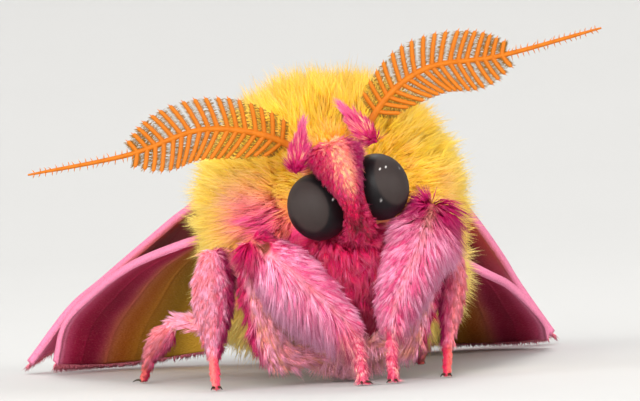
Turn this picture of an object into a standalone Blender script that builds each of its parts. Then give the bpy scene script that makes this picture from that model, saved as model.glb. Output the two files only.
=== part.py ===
"""A rosy maple moth at rest, life size, as a still museum model.

The moth faces -Y and stands on the plane z = 0. +X is its left side, which is on the right of a viewer
who looks it in the face. Every size below is in metres, given as millimetres times MM.
"""

import math
import random

import bmesh
import bpy
import numpy as np
from mathutils import Matrix, Vector
from mathutils.bvhtree import BVHTree

MM = 0.001
GAP = 0.3 * MM
THINNEST = 0.5 * MM

# Thorax: a ball of wool over a smaller core
THORAX_CENTRE = Vector((0, 0, 4.8)) * MM
THORAX_RADII = Vector((3.4, 3.15, 3.4)) * MM
FLANK_CENTRE = Vector((1.9, 0.2, 2.9)) * MM
FLANK_RADII = Vector((1.55, 2.2, 1.6)) * MM
COAT_REACH = 0.85 * MM
COAT_SLIDE = 1.25 * MM
THORAX_LOCKS = 158
LOCK_WIDTH = 1.05 * MM

# Chest between head and forelegs
CHEST_CENTRE = Vector((0.05, -3.9, 3.0)) * MM
CHEST_RADII = Vector((1.5, 1.0, 1.5)) * MM

# Head: its own frame is rolled and turned on the neck
HEAD_CENTRE = Vector((0, -4.75, 5.37)) * MM
HEAD_ROLL = math.radians(-15)
HEAD_TURN = math.radians(5)
SKULL_RADII = Vector((1.15, 1.1, 1.5)) * MM
SKULL_LIFT = 0.2 * MM
EYE_RADII = Vector((0.87, 0.89, 0.97)) * MM
EYE_OFFSET = Vector((0.93, -0.15, 0)) * MM
EYE_FLAT = 0.55 * MM
FRONS_TOP = Vector((-0.12, -0.75, 1.3)) * MM
FRONS_FOOT = Vector((-0.24, -1.2, -0.75)) * MM
FRONS_HALF_WIDTHS = (0.8 * MM, 0.64 * MM, 0.43 * MM, 0.25 * MM)
PALP_LENGTH = 0.95 * MM
PALP_RADIUS = 0.27 * MM

# Tufts of long scales in front of the antenna sockets
TUFT_ENDS = {
    "right": ((-1.3, -0.55, 1.2), (-0.52, -0.85, 2.85)),
    "left": ((1.14, -0.55, 1.3), (0.28, -0.85, 2.95)),
}
TUFT_RADIUS = 0.34 * MM

# Antennae: root, bend, middle, end of the comb and tip, from the photographed pose
ANTENNA_PATHS = {
    "right": ((-1.0, -4.75, 6.55), (-2.3, -5.0, 7.25), (-4.13, -5.0, 7.5), (-6.21, -4.8, 6.9),
              (-9.07, -4.4, 6.48)),
    "left": ((0.45, -4.75, 7.0), (1.3, -5.0, 8.2), (2.56, -5.0, 8.97), (4.63, -4.8, 9.19),
             (7.67, -4.4, 9.85)),
}
SHAFT_RADIUS = 0.25 * MM
SHAFT_TIP_RADIUS = 0.13 * MM
COMB_START = 0.1
COMB_END = 0.64
RAMI_PER_SIDE = 8
RAMUS_LENGTH = 1.15 * MM
RAMUS_SWEEP = 0.45

# Abdomen
ABDOMEN_AXIS = ((0, 2.4, 4.1), (0, 5.0, 3.5), (0, 8.0, 2.5), (0, 11.0, 1.2), (0, 13.4, 0.62))
ABDOMEN_RADII = (1.9 * MM, 2.0 * MM, 1.96 * MM, 1.85 * MM, 1.66 * MM, 1.3 * MM, 0.4 * MM)
ABDOMEN_SEGMENTS = 7
SEGMENT_PINCH = 0.94

# Wings: leading edge and inner edge of the moth's left wings, the right ones are their mirror image, but the
# right hindwing is held higher than the left one, so each of the two has its own leading edge
WING_THICKNESS = THINNEST
VEIN_HEIGHT = 0.14 * MM
VEIN_SPREAD = 0.018
FOREWING = {
    "costa": ((2.7, -0.1, 5.85), (4.0, 2.4, 5.2), (5.15, 5.1, 4.2), (6.4, 8.8, 3.0), (7.35, 12.0, 2.05),
              (8.65, 13.7, 0.35)),
    "inner": ((2.2, 1.4, 6.85), (1.1, 4.0, 6.8), (0.6, 7.0, 6.0), (0.5, 10.0, 4.9), (0.6, 12.8, 3.7)),
    "outer_bulge": 1.5 * MM,
    "camber": 0.55 * MM,
    "veins": (0.03, 0.15, 0.28, 0.41, 0.54, 0.68, 0.84),
    "rows": 8,
}
HINDWING_COSTA = {
    "right": ((2.7, 1.1, 4.6), (4.5, 1.2, 4.13), (5.8, 4.4, 3.52), (6.8, 7.6, 2.67), (7.6, 10.2, 1.7),
              (7.9, 11.6, 0.4)),
    "left": ((2.7, 1.1, 4.0), (4.65, 1.2, 2.85), (5.9, 4.3, 2.3), (7.05, 7.5, 1.5), (7.7, 9.2, 0.9),
             (8.0, 10.6, 0.37)),
}
HINDWING = {
    "inner": ((2.5, 2.4, 4.5), (2.75, 4.0, 3.9), (2.85, 6.5, 2.9), (2.65, 9.0, 1.8), (2.6, 11.6, 0.6)),
    "outer_bulge": 1.5 * MM,
    "camber": 0.35 * MM,
    "veins": (0.04, 0.2, 0.38, 0.56, 0.76),
    "rows": 7,
}

# Legs: hip, knee, ankle and toe of each, then the half widths of the woolly thigh and shin
LEGS = {
    "foreleg_right": (((-0.95, -3.7, 0.95), (-2.25, -4.0, 1.15), (-2.72, -4.0, 3.6)),
                      ((-2.6, -4.55, 4.1), (-0.1, -5.4, 1.6), (0.05, -5.95, 0.03)), 0.55 * MM, 0.76 * MM),
    "foreleg_left": (((0.9, -3.7, 0.95), (1.75, -4.0, 1.3), (2.4, -4.0, 4.2)),
                     ((2.35, -4.5, 4.8), (1.0, -5.35, 2.05), (0.9, -5.9, 0.03)), 0.5 * MM, 0.78 * MM),
    "midleg_right": (((-1.5, -2.2, 1.7), (-2.3, -2.75, 2.2), (-3.45, -2.5, 3.7)),
                     ((-3.8, -2.95, 3.8), (-3.95, -3.3, 1.1), (-4.0, -4.2, 0.1)), 0.42 * MM, 0.66 * MM),
    "midleg_left": (((1.5, -2.2, 1.7), (2.3, -2.75, 2.0), (3.15, -2.5, 3.4)),
                    ((3.27, -2.9, 3.45), (2.88, -3.3, 1.05), (2.68, -4.2, 0.1)), 0.42 * MM, 0.46 * MM),
    "hindleg_right": (((-1.3, 1.2, 1.05), (-2.9, 1.4, 1.5), (-4.4, 1.9, 1.85)),
                      ((-4.75, 2.05, 1.75), (-5.35, 2.4, 0.95), (-5.65, 2.8, 0.1)), 0.42 * MM, 0.42 * MM),
    "hindleg_left": (((1.1, 1.2, 1.05), (1.9, 1.5, 1.05), (2.65, 2.1, 1.3)),
                     ((2.75, 2.4, 1.25), (2.85, 2.9, 0.75), (2.95, 3.9, 0.1)), 0.42 * MM, 0.42 * MM),
}
TARSUS_RADIUS = 0.26 * MM

# Colour, linear, and roughness of each kind of node
LOOKS = {
    "eye": ((0.02, 0.016, 0.015), 0.25),
    "antenna": ((0.75, 0.26, 0.02), 0.6),
    "thorax": ((0.9, 0.62, 0.08), 0.9),
    "abdomen": ((0.86, 0.6, 0.12), 0.9),
    "forewing": ((0.82, 0.3, 0.42), 0.8),
    "hindwing": ((0.8, 0.5, 0.25), 0.8),
    "head": ((0.75, 0.13, 0.27), 0.85),
    "tuft": ((0.72, 0.1, 0.24), 0.85),
    "chest": ((0.74, 0.12, 0.28), 0.9),
    "leg": ((0.78, 0.2, 0.36), 0.85),
}


def clear_scene():
    for obj in list(bpy.data.objects):
        bpy.data.objects.remove(obj)


def finish_of(name, colour, roughness):
    """A Principled material with one colour."""
    made = bpy.data.materials.new(name)
    made.use_nodes = True
    shader = made.node_tree.nodes["Principled BSDF"]
    shader.inputs["Base Color"].default_value = (*colour, 1)
    shader.inputs["Roughness"].default_value = roughness
    shader.inputs["Metallic"].default_value = 0.0
    return made


def solid(name, verts, faces):
    """A mesh object, its faces turned outwards."""
    mesh = bpy.data.meshes.new(name)
    mesh.from_pydata([tuple(v) for v in verts], [], faces)
    shape = bmesh.new()
    shape.from_mesh(mesh)
    bmesh.ops.recalc_face_normals(shape, faces=shape.faces)
    shape.to_mesh(mesh)
    shape.free()
    obj = bpy.data.objects.new(name, mesh)
    bpy.context.scene.collection.objects.link(obj)
    return obj


def ball(name, centre, radii, sides=18, rings=12, turn=None):
    """An ellipsoid, turned about its centre."""
    shape = bmesh.new()
    bmesh.ops.create_uvsphere(shape, u_segments=sides, v_segments=rings, radius=1)
    size = Matrix.Diagonal((*radii, 1))
    place = Matrix.Translation(centre) @ (turn or Matrix.Identity(4)) @ size
    bmesh.ops.transform(shape, matrix=place, verts=shape.verts)
    mesh = bpy.data.meshes.new(name)
    shape.to_mesh(mesh)
    shape.free()
    obj = bpy.data.objects.new(name, mesh)
    bpy.context.scene.collection.objects.link(obj)
    return obj


def box(name, low, high, frame=None):
    """A block between two corners of the given frame."""
    xs, ys, zs = zip(low, high)
    corners = [Vector((x, y, z)) for z in zs
               for x, y in ((xs[0], ys[0]), (xs[1], ys[0]), (xs[1], ys[1]), (xs[0], ys[1]))]
    if frame:
        corners = [frame @ c for c in corners]
    faces = [(3, 2, 1, 0), (4, 5, 6, 7), (0, 1, 5, 4), (1, 2, 6, 5), (2, 3, 7, 6), (3, 0, 4, 7)]
    return solid(name, corners, faces)


def in_mm(points):
    return [Vector(q) * MM for q in points]


def smooth_path(points, count):
    """Evenly spaced points on a Catmull-Rom curve through the given ones."""
    p = [Vector(q) for q in points]
    p = [2 * p[0] - p[1], *p, 2 * p[-1] - p[-2]]
    fine = []
    for i in range(1, len(p) - 2):
        for k in range(12):
            t = k / 12
            fine.append(0.5 * (2 * p[i] + (p[i + 1] - p[i - 1]) * t
                               + (2 * p[i - 1] - 5 * p[i] + 4 * p[i + 1] - p[i + 2]) * t * t
                               + (3 * p[i] - p[i - 1] - 3 * p[i + 1] + p[i + 2]) * t ** 3))
    fine.append(p[-2])
    run = np.concatenate([[0], np.cumsum([(b - a).length for a, b in zip(fine, fine[1:])])])
    wanted = np.linspace(0, run[-1], count)
    axes = [np.interp(wanted, run, [q[k] for q in fine]) for k in range(3)]
    return [Vector(q) for q in zip(*axes)]


def loft(name, path, wide, deep, wide_axis, sides=8, pointed=False):
    """A tube of elliptical section along a path. wide and deep are half sizes at each point."""
    verts, faces = [], []
    last = len(path) - 1
    for i, here in enumerate(path):
        if pointed and i == last:
            verts.append(here)
            break
        ahead = (path[min(i + 1, last)] - path[max(i - 1, 0)]).normalized()
        across = (wide_axis - ahead * wide_axis.dot(ahead)).normalized()
        up = ahead.cross(across)
        for k in range(sides):
            turn = 2 * math.pi * (k + 0.5) / sides
            verts.append(here + across * math.cos(turn) * wide[i] + up * math.sin(turn) * deep[i])
    rings = last if pointed else last + 1
    for i in range(rings - 1):
        for k in range(sides):
            a, b = i * sides + k, i * sides + (k + 1) % sides
            faces += [(a, b, b + sides), (a, b + sides, a + sides)]
    faces.append(tuple(reversed(range(sides))))
    end = (rings - 1) * sides
    if pointed:
        faces += [(end + k, end + (k + 1) % sides, len(verts) - 1) for k in range(sides)]
    else:
        faces.append(tuple(range(end, end + sides)))
    return solid(name, verts, faces)


def apply_boolean(obj, others, operation, solver="EXACT"):
    """Joins or cuts with a collection of closed meshes, applies it and removes them."""
    group = bpy.data.collections.new("operands")
    for other in others:
        group.objects.link(other)
    change = obj.modifiers.new("boolean", "BOOLEAN")
    change.operation = operation
    change.operand_type = "COLLECTION"
    change.collection = group
    change.solver = solver
    bpy.context.view_layer.update()
    graph = bpy.context.evaluated_depsgraph_get()
    mesh = bpy.data.meshes.new_from_object(obj.evaluated_get(graph))
    obj.modifiers.clear()
    obj.data = mesh
    for other in others:
        bpy.data.objects.remove(other)
    bpy.data.collections.remove(group)
    keep_largest(obj)
    return obj


def keep_largest(obj):
    """Only the closed surface with the most volume stays."""
    shape = bmesh.new()
    shape.from_mesh(obj.data)
    bmesh.ops.triangulate(shape, faces=shape.faces)
    left = set(shape.faces)
    best, best_volume = [], -1.0
    while left:
        seed = left.pop()
        found, todo = [seed], [seed]
        while todo:
            for edge in todo.pop().edges:
                for face in edge.link_faces:
                    if face in left:
                        left.remove(face)
                        found.append(face)
                        todo.append(face)
        volume = sum(f.verts[0].co.dot(f.verts[1].co.cross(f.verts[2].co)) for f in found) / 6
        if volume > best_volume:
            best, best_volume = found, volume
    kept = set(best)
    bmesh.ops.delete(shape, geom=[f for f in shape.faces if f not in kept], context="FACES")
    shape.to_mesh(obj.data)
    shape.free()


def join(obj, pieces):
    """Fuses pieces that cross one another, which the exact solver is slow at."""
    return apply_boolean(obj, pieces, "UNION", "MANIFOLD") if pieces else obj


def cut(obj, cutters, solver="EXACT"):
    return apply_boolean(obj, cutters, "DIFFERENCE", solver)


def grown(obj):
    """The mesh of a plain form, larger all round by the gap."""
    mesh = obj.data.copy()
    shape = bmesh.new()
    shape.from_mesh(mesh)
    shape.normal_update()
    moves = [v.normal * GAP * min(v.calc_shell_factor(), 1.6) for v in shape.verts]
    for vert, move in zip(shape.verts, moves):
        vert.co += move
    shape.to_mesh(mesh)
    shape.free()
    return mesh


def clear_away(obj, *margins, solver="EXACT"):
    """Cuts a node back from the grown forms of its neighbours."""
    cutters = []
    for mesh in [m for margin in margins for m in margin]:
        cutter = bpy.data.objects.new("cutter", mesh)
        cutter.hide_render = True
        cutter.display_type = "WIRE"
        bpy.context.scene.collection.objects.link(cutter)
        cutters.append(cutter)
    return cut(obj, cutters, solver)


def flatten_foot(obj):
    """Cuts a node flat where it would pass the floor."""
    return cut(obj, [box("floor", (-0.03, -0.03, -0.01), (0.03, 0.03, 0))])


def tree_of(obj):
    """A search tree of an object's surface, its vertices being in world space already."""
    faces = [tuple(face.vertices) for face in obj.data.polygons]
    return BVHTree.FromPolygons([v.co for v in obj.data.vertices], faces)


def lock(root, normal, lie, reach, slide, width, sink, bends):
    """A flat tapered lock that leaves the surface and bends over along its lie, and points all over it."""
    steps = ((0.35, 0.15, 1, 1), (0.8, 0.55, 0.72, 0.72)) if bends == 2 else ((0.65, 0.35, 1, 0.9),)
    path = [root - normal * sink]
    wide, deep = [width * 0.4], [THINNEST / 2]
    for rise, run, broad, thick in steps:
        path.append(root + normal * reach * rise + lie * slide * run)
        wide.append(width / 2 * broad)
        deep.append(THINNEST / 2 * thick)
    path.append(root + normal * reach + lie * slide)
    made = loft("lock", path, wide + [0], deep + [0], normal.cross(lie), sides=4, pointed=True)
    points = [v.co for v in made.data.vertices]
    points += [(points[i] + points[min(i + 4, len(points) - 1)]) / 2 for i in range(4, len(points) - 1)]
    return made, points


def is_clear(made, points, trees):
    """Whether a lock keeps the gap to every other node and to the floor."""
    if min(p.z for p in points) < 0.1 * MM:
        return False
    if any(tree.find_nearest(p, GAP)[0] is not None for p in points for tree in trees):
        return False
    own = tree_of(made)
    return not any(own.overlap(tree) for tree in trees)


def lay_coat(obj, spots, trees, sink, bends):
    """Grows locks on a node, shorter where another node is near, and joins them to it."""
    locks = []
    for root, normal, lie, reach, slide, width in spots:
        lie = (lie - normal * lie.dot(normal)).normalized()
        for share in (1.0, 0.75, 0.5):
            made, points = lock(root, normal, lie, reach * share, slide * share, width * (0.5 + share / 2),
                                sink, bends)
            if is_clear(made, points, trees):
                locks.append(made)
                break
            bpy.data.objects.remove(made)
    return join(obj, locks)


def head_frame():
    """The head's own frame: x to its left, y backwards, z up."""
    return (Matrix.Translation(HEAD_CENTRE) @ Matrix.Rotation(HEAD_TURN, 4, "Z")
            @ Matrix.Rotation(HEAD_ROLL, 4, "Y"))


def mirrored(point, side):
    return Vector((point[0] * side, point[1], point[2]))


def make_thorax():
    """The thorax and its two low flanks. Returns their grown forms as well."""
    thorax = ball("thorax", THORAX_CENTRE, THORAX_RADII, 20, 12)
    flanks = [ball("flank", mirrored(FLANK_CENTRE, side), FLANK_RADII, 14, 9) for side in (-1, 1)]
    margin = [grown(piece) for piece in (thorax, *flanks)]
    join(thorax, flanks)
    return margin


def make_eyes():
    """Two balls, each flattened where it lies against the skull. Returns their grown forms as well."""
    frame = head_frame()
    turn = frame.to_3x3().to_4x4()
    margin = []
    for name, side in (("right", -1), ("left", 1)):
        centre = frame @ mirrored(EYE_OFFSET, side)
        far = 3 * EYE_RADII.z
        for more in (GAP, 0):
            eye = ball("eye_" + name, centre, EYE_RADII + Vector((more, more, more)), 16, 10, turn)
            flat = EYE_FLAT - more
            low = (-far, -far, -far) if side > 0 else (-flat, -far, -far)
            high = (flat, far, far) if side > 0 else (far, far, far)
            cut(eye, [box("flat", low, high, frame)])
            if more:
                margin.append(eye.data)
                bpy.data.objects.remove(eye)
    return margin


def make_head(thorax_margin, eye_margin):
    """Skull, face plate and palps, with sockets for the eyes."""
    frame = head_frame()
    turn = frame.to_3x3().to_4x4()
    across = turn @ Vector((1, 0, 0))
    head = ball("head", frame @ Vector((0, 0.1 * MM, SKULL_LIFT)), SKULL_RADII, 16, 12, turn)
    face_path = [frame @ (FRONS_TOP.lerp(FRONS_FOOT, t) + Vector((0, -0.35 * MM * math.sin(math.pi * t), 0)))
                 for t in (0, 0.33, 0.67, 1)]
    deep = (0.5 * MM, 0.56 * MM, 0.52 * MM, 0.4 * MM)
    pieces = [loft("face", face_path, FRONS_HALF_WIDTHS, deep, across, sides=10)]
    for side in (-1, 1):
        start = Vector((side * 0.15 - 0.2, -0.85, -0.55)) * MM
        bow = [Vector((side * 0.12 * t, -0.35 * math.sin(2.4 * t), -t)) for t in (0, 0.4, 0.8, 1.1)]
        path = [frame @ (start + step * PALP_LENGTH * 0.75) for step in bow]
        radii = (PALP_RADIUS, PALP_RADIUS * 1.15, PALP_RADIUS * 0.95, PALP_RADIUS * 0.5)
        pieces.append(loft("palp", path, radii, radii, across, sides=8))
    margin = [grown(piece) for piece in (head, *pieces)]
    join(head, pieces)
    clear_away(head, thorax_margin, eye_margin)
    return margin


def make_tufts(head_margin, eye_margin):
    """The two leaning horns of long scales in front of the antenna sockets."""
    frame = head_frame()
    margin = []
    for name, ends in TUFT_ENDS.items():
        start, end = in_mm(ends)
        path = [frame @ start.lerp(end, t) for t in (0, 0.3, 0.6, 0.85, 1)]
        shares = (0.85, 1.0, 0.75, 0.42, 0)
        wide = [TUFT_RADIUS * share for share in shares]
        tuft = loft("tuft_" + name, path, wide, [w * 0.85 for w in wide], Vector((1, 0, 0)), 8, True)
        margin.append(grown(tuft))
        clear_away(tuft, head_margin, eye_margin)
    return margin


def comb_rays(line):
    """Tapered rays on both sides of the shaft, swept towards its tip and longest near the middle."""
    rays = []
    for k in range(RAMI_PER_SIDE):
        share = (k + 0.5) / RAMI_PER_SIDE
        at = round(100 * (COMB_START + (COMB_END - COMB_START) * share))
        size = RAMUS_LENGTH * (1 - 0.42 * abs(2 * share - 0.8) ** 3)
        here = line[at]
        ahead = (line[at + 1] - here).normalized()
        for side in (-1, 1):
            out = ahead.cross(Vector((0, 1, 0))).normalized() * side
            bends = ((0, 0), (0.5, 0.16), (1.0, 0.5))
            path = [here + (out * o + ahead * a * RAMUS_SWEEP) * size for o, a in bends]
            half = (0.25 * MM, 0.2 * MM, 0.11 * MM)
            rays.append(loft("ray", path, half, half, Vector((0, 1, 0)), sides=4))
    return rays


def make_antennae(*margins):
    """Comb antennae: a tapered shaft with rays on both sides, then a bare tip."""
    for name, points in ANTENNA_PATHS.items():
        path = smooth_path(in_mm(points), 13)
        radii = [SHAFT_RADIUS + (SHAFT_TIP_RADIUS - SHAFT_RADIUS) * share ** 1.3
                 for share in np.linspace(0, 1, len(path))]
        shaft = loft("antenna_" + name, path, radii, radii, Vector((0, 0, 1)), sides=6)
        join(shaft, comb_rays(smooth_path(in_mm(points), 101)))
        clear_away(shaft, *margins)


def wing_point(shape, a, b):
    """The middle surface at a, from root to outer margin, and b, from leading edge to inner edge."""
    costa, inner = shape["curves"]
    place = a * (len(costa) - 1)
    low = min(int(place), len(costa) - 2)
    front = costa[low].lerp(costa[low + 1], place - low)
    back = inner[low].lerp(inner[low + 1], place - low)
    out = (costa[-1] + inner[-1] - costa[0] - inner[0]).normalized()
    up = (costa[-1] - costa[0]).cross(inner[-1] - costa[0]).normalized()
    belly = math.sin(math.pi * b)
    return front.lerp(back, b) + (out * shape["outer_bulge"] * a ** 3 + up * shape["camber"] * a) * belly


def wing_normal(shape, a, b, step=0.004):
    """The upward normal of the middle surface."""
    along = wing_point(shape, min(a + step, 1), b) - wing_point(shape, max(a - step, 0), b)
    across = wing_point(shape, a, min(b + step, 1)) - wing_point(shape, a, max(b - step, 0))
    return along.cross(across).normalized()


def make_wing(name, sizes, side, thorax_margin):
    """A thin curved vane, its veins raised in its upper face and both faces triangulated alike."""
    shape = {**sizes, "curves": [smooth_path(in_mm(sizes[k]), 25) for k in ("costa", "inner")]}
    columns, heights = [0.0], [0.0]
    for vein in shape["veins"]:
        columns += [vein - VEIN_SPREAD, vein, vein + VEIN_SPREAD]
        heights += [0.0, VEIN_HEIGHT, 0.0]
    columns.append(1.0)
    heights.append(0.0)
    rows, wide = shape["rows"], len(columns)
    upper, lower = [], []
    for a in np.linspace(0, 1, rows):
        for b, height in zip(columns, heights):
            here, up = wing_point(shape, a, b), wing_normal(shape, a, b)
            upper.append(here + up * (WING_THICKNESS / 2 + height * (1 - 0.4 * a)))
            lower.append(here - up * WING_THICKNESS / 2)
    verts = [mirrored(v, side) for v in upper + lower]
    faces, under = [], rows * wide
    for i in range(rows - 1):
        for k in range(wide - 1):
            q = i * wide + k
            for tri in ((q, q + 1, q + wide + 1), (q, q + wide + 1, q + wide)):
                faces += [tri, tuple(under + v for v in reversed(tri))]
    rim = [(k, k + 1) for k in range(wide - 1)]
    rim += [(i * wide + wide - 1, (i + 1) * wide + wide - 1) for i in range(rows - 1)]
    rim += [((rows - 1) * wide + k + 1, (rows - 1) * wide + k) for k in range(wide - 1)]
    rim += [((i + 1) * wide, i * wide) for i in range(rows - 1)]
    for p, q in rim:
        faces += [(p, under + q, q), (p, under + p, under + q)]
    wing = solid(name, verts, faces)
    # The exact solver empties this thin vane
    for form in thorax_margin:
        clear_away(wing, [form], solver="MANIFOLD")


def make_abdomen(thorax_margin):
    """Seven soft segments that run down to the floor."""
    count = 2 * ABDOMEN_SEGMENTS + 1
    path = smooth_path(in_mm(ABDOMEN_AXIS), count)
    spots = np.linspace(0, 1, len(ABDOMEN_RADII))
    radii = [np.interp(i / (count - 1), spots, ABDOMEN_RADII) * (SEGMENT_PINCH if i % 2 == 0 else 1)
             for i in range(count)]
    abdomen = loft("abdomen", path, radii, [r * 0.96 for r in radii], Vector((1, 0, 0)), sides=12)
    margin = [grown(abdomen)]
    clear_away(abdomen, thorax_margin)
    flatten_foot(abdomen)
    return margin


def make_chest(thorax_margin, head_margin, eye_margin):
    """The narrow front ring of the body, which carries the forelegs."""
    chest = ball("chest", CHEST_CENTRE, CHEST_RADII, 16, 10)
    margin = [grown(chest)]
    clear_away(chest, thorax_margin, head_margin, eye_margin)
    return margin


def thigh_sizes(spec):
    """The path and half width of a thigh."""
    path = smooth_path(in_mm(spec[0]), 7)
    half = [max(spec[2] * share, THINNEST / 2) for share in (0.62, 0.8, 0.95, 1.0, 1.0, 0.85, 0.45)]
    return path, half


def shin_sizes(spec):
    """The path and half width of a shin with its foot."""
    knee, ankle, toe = in_mm(spec[1])
    bend = ankle.lerp(toe, 0.25)
    path = [knee.lerp(ankle, t) for t in (0, 0.2, 0.45, 0.7, 0.9)] + [bend, toe.lerp(bend, 0.45), toe]
    half = [max(spec[3] * share, TARSUS_RADIUS) for share in (0.5, 0.95, 1.0, 0.85, 0.5)]
    half += [TARSUS_RADIUS] * 3
    return path, half


def make_leg(name, spec, margins):
    """A thigh and a shin with its foot, each its own node, a gap apart at the knee."""
    path, half = thigh_sizes(spec)
    thigh = loft(name + "_thigh", path, half, [h * 0.8 for h in half], Vector((1, 0, 0)), sides=8)
    margin = [grown(thigh)]
    clear_away(thigh, *margins)
    path, half = shin_sizes(spec)
    deep = [max(h * 0.8, TARSUS_RADIUS) for h in half]
    shin = loft(name + "_shin", path, half, deep, Vector((1, 0, 0)), sides=8)
    clear_away(shin, margin, *margins)
    flatten_foot(shin)
    return margin


def thorax_spots(draw, wool):
    """Locks all over the thorax but its belly, lying back over the top and down at the sides."""
    golden = math.pi * (3 - math.sqrt(5))
    for i in range(THORAX_LOCKS):
        z = 1 - 1.75 * (i + 0.5) / THORAX_LOCKS
        ring = math.sqrt(1 - z * z)
        out = Vector((ring * math.cos(golden * i), ring * math.sin(golden * i), z))
        root, normal, _, _ = wool.ray_cast(THORAX_CENTRE + out * 8 * MM, -out)
        lie = Vector((normal.x * 0.5, 0.6, 0.25 - 0.9 * abs(normal.x)))
        reach = COAT_REACH * (1 + 0.35 * max(0, -z)) * draw.uniform(0.85, 1.1)
        slide = COAT_SLIDE * draw.uniform(0.8, 1.15)
        yield root, normal, lie, reach, slide, LOCK_WIDTH * draw.uniform(0.85, 1.1)


def limb_spots(draw, path, half, rows, around, reach, slide, width):
    """Locks in rings along a limb, lying towards its far end."""
    for i in range(rows):
        place = (i + 0.6) / (rows + 0.35) * (len(path) - 1)
        low = min(int(place), len(path) - 2)
        here = path[low].lerp(path[low + 1], place - low)
        ahead = (path[low + 1] - path[low]).normalized()
        thick = half[low] + (half[low + 1] - half[low]) * (place - low)
        across = (Vector((1, 0, 0)) - ahead * ahead.x).normalized()
        up = ahead.cross(across)
        for k in range(around):
            turn = 2 * math.pi * (k + 0.5 * (i % 2)) / around
            normal = (across * math.cos(turn) + up * math.sin(turn) * 0.8).normalized()
            root = here + across * math.cos(turn) * thick + up * math.sin(turn) * thick * 0.8
            rise = reach * draw.uniform(0.8, 1.15)
            yield root, normal, ahead, rise, slide * draw.uniform(0.85, 1.15), width


def chest_spots(draw):
    """Locks on the front of the chest, combed down into a V."""
    for row in range(4):
        for k in range(5 - row % 2):
            across = (k - (4 - row % 2) / 2) * 0.42
            normal = Vector((across, -1, 0.75 - 0.45 * row)).normalized()
            root = CHEST_CENTRE + Vector(n * r for n, r in zip(normal, CHEST_RADII))
            lie = Vector((-across * 0.8, -0.25, -1))
            yield root, normal, lie, 0.25 * MM, 0.9 * MM * draw.uniform(0.85, 1.15), 0.62 * MM


def head_spots(draw, face):
    """Locks combed down the face, and a crest on the crown between the horns."""
    frame = head_frame()
    turn = frame.to_3x3()
    rows = ((1.2, (-0.58, -0.2, 0.2, 0.58)), (0.65, (-0.4, 0, 0.4)), (0.1, (-0.22, 0.22)), (-0.45, (0,)))
    for z, xs in rows:
        for x in xs:
            root, normal, _, _ = face.ray_cast(frame @ (Vector((x, -4, z)) * MM), turn @ Vector((0, 1, 0)))
            slide = 0.95 * MM * draw.uniform(0.9, 1.1)
            yield root, normal, turn @ Vector((-0.25 * x, -0.2, -1)), 0.16 * MM, slide, 0.5 * MM
    for k in range(6):
        spread = (k - 2.5) * 0.3
        normal = Vector((spread, -0.35 + 0.25 * (k % 2), 1)).normalized()
        root = Vector(n * r for n, r in zip(normal, SKULL_RADII)) + Vector((0, 0.1 * MM, SKULL_LIFT))
        reach = 0.75 * MM * draw.uniform(0.8, 1.1)
        yield frame @ root, turn @ normal, turn @ Vector((spread, 0.4, 0.2)), reach, 0.5 * MM, 0.6 * MM


def abdomen_spots(draw):
    """Tufts at the hind edge of the segments, on the back and flanks."""
    path = smooth_path(in_mm(ABDOMEN_AXIS), 2 * ABDOMEN_SEGMENTS + 1)
    spots = np.linspace(0, 1, len(ABDOMEN_RADII))
    for i in (4, 7, 10, 12):
        radius = np.interp(i / (len(path) - 1), spots, ABDOMEN_RADII)
        ahead = (path[i + 1] - path[i - 1]).normalized()
        up = Vector((1, 0, 0)).cross(ahead)
        up = up if up.z > 0 else -up
        for k in range(5):
            turn = math.pi * (k - 2 + 0.25 * (i % 4 - 1)) / 4.6
            normal = (Vector((1, 0, 0)) * math.sin(turn) + up * math.cos(turn)).normalized()
            slide = 1.15 * MM * draw.uniform(0.85, 1.15)
            yield path[i] + normal * radius * 0.95, normal, ahead, 0.3 * MM, slide, 1.1 * MM


def coats(trees):
    """Every node with locks: where they grow, how deep their roots are sunk and how often they bend."""
    draw = random.Random(5)
    yield "head", head_spots(draw, trees["head"]), 0.3 * MM, 2
    yield "chest", chest_spots(draw), 0.35 * MM, 2
    for name, spec in LEGS.items():
        rows, around = {"f": (3, 4), "m": (2, 3), "h": (1, 3)}[name[0]]
        path, half = thigh_sizes(spec)
        spots = limb_spots(draw, path, half, rows, around, 0.12 * MM, 1.05 * MM, 0.8 * MM)
        yield name + "_thigh", spots, 0.2 * MM, 1
        path, half = shin_sizes(spec)
        spots = limb_spots(draw, path[:6], half[:6], min(rows, 2), around, 0.1 * MM, 0.95 * MM, 0.7 * MM)
        yield name + "_shin", spots, 0.2 * MM, 1
    yield "abdomen", abdomen_spots(draw), 0.4 * MM, 1
    yield "thorax", thorax_spots(draw, trees["thorax"]), 0.4 * MM, 2


def stand_on_origin():
    """Moves the moth so that the middle of its box is over the origin, and hangs each node on one empty."""
    objects = [obj for obj in bpy.context.scene.objects if obj.type == "MESH"]
    corners = np.array([v.co for obj in objects for v in obj.data.vertices])
    middle = (corners.min(0) + corners.max(0)) / 2
    moth = bpy.data.objects.new("moth", None)
    moth.location = (-middle[0], -middle[1], 0)
    bpy.context.scene.collection.objects.link(moth)
    for obj in objects:
        own = np.array([v.co for v in obj.data.vertices])
        centre = Vector((own.min(0) + own.max(0)) / 2)
        obj.data.transform(Matrix.Translation(-centre))
        obj.location = centre
        obj.parent = moth
    bpy.context.view_layer.update()
    return objects


def paint(obj):
    """Gives a node its own material and smooth shading with crisp edges."""
    colour, roughness = next(look for key, look in LOOKS.items() if key in obj.name)
    obj.data.materials.clear()
    obj.data.materials.append(finish_of(obj.name, colour, roughness))
    obj.data.shade_smooth()
    obj.data.set_sharp_from_angle(angle=math.radians(50))


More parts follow.
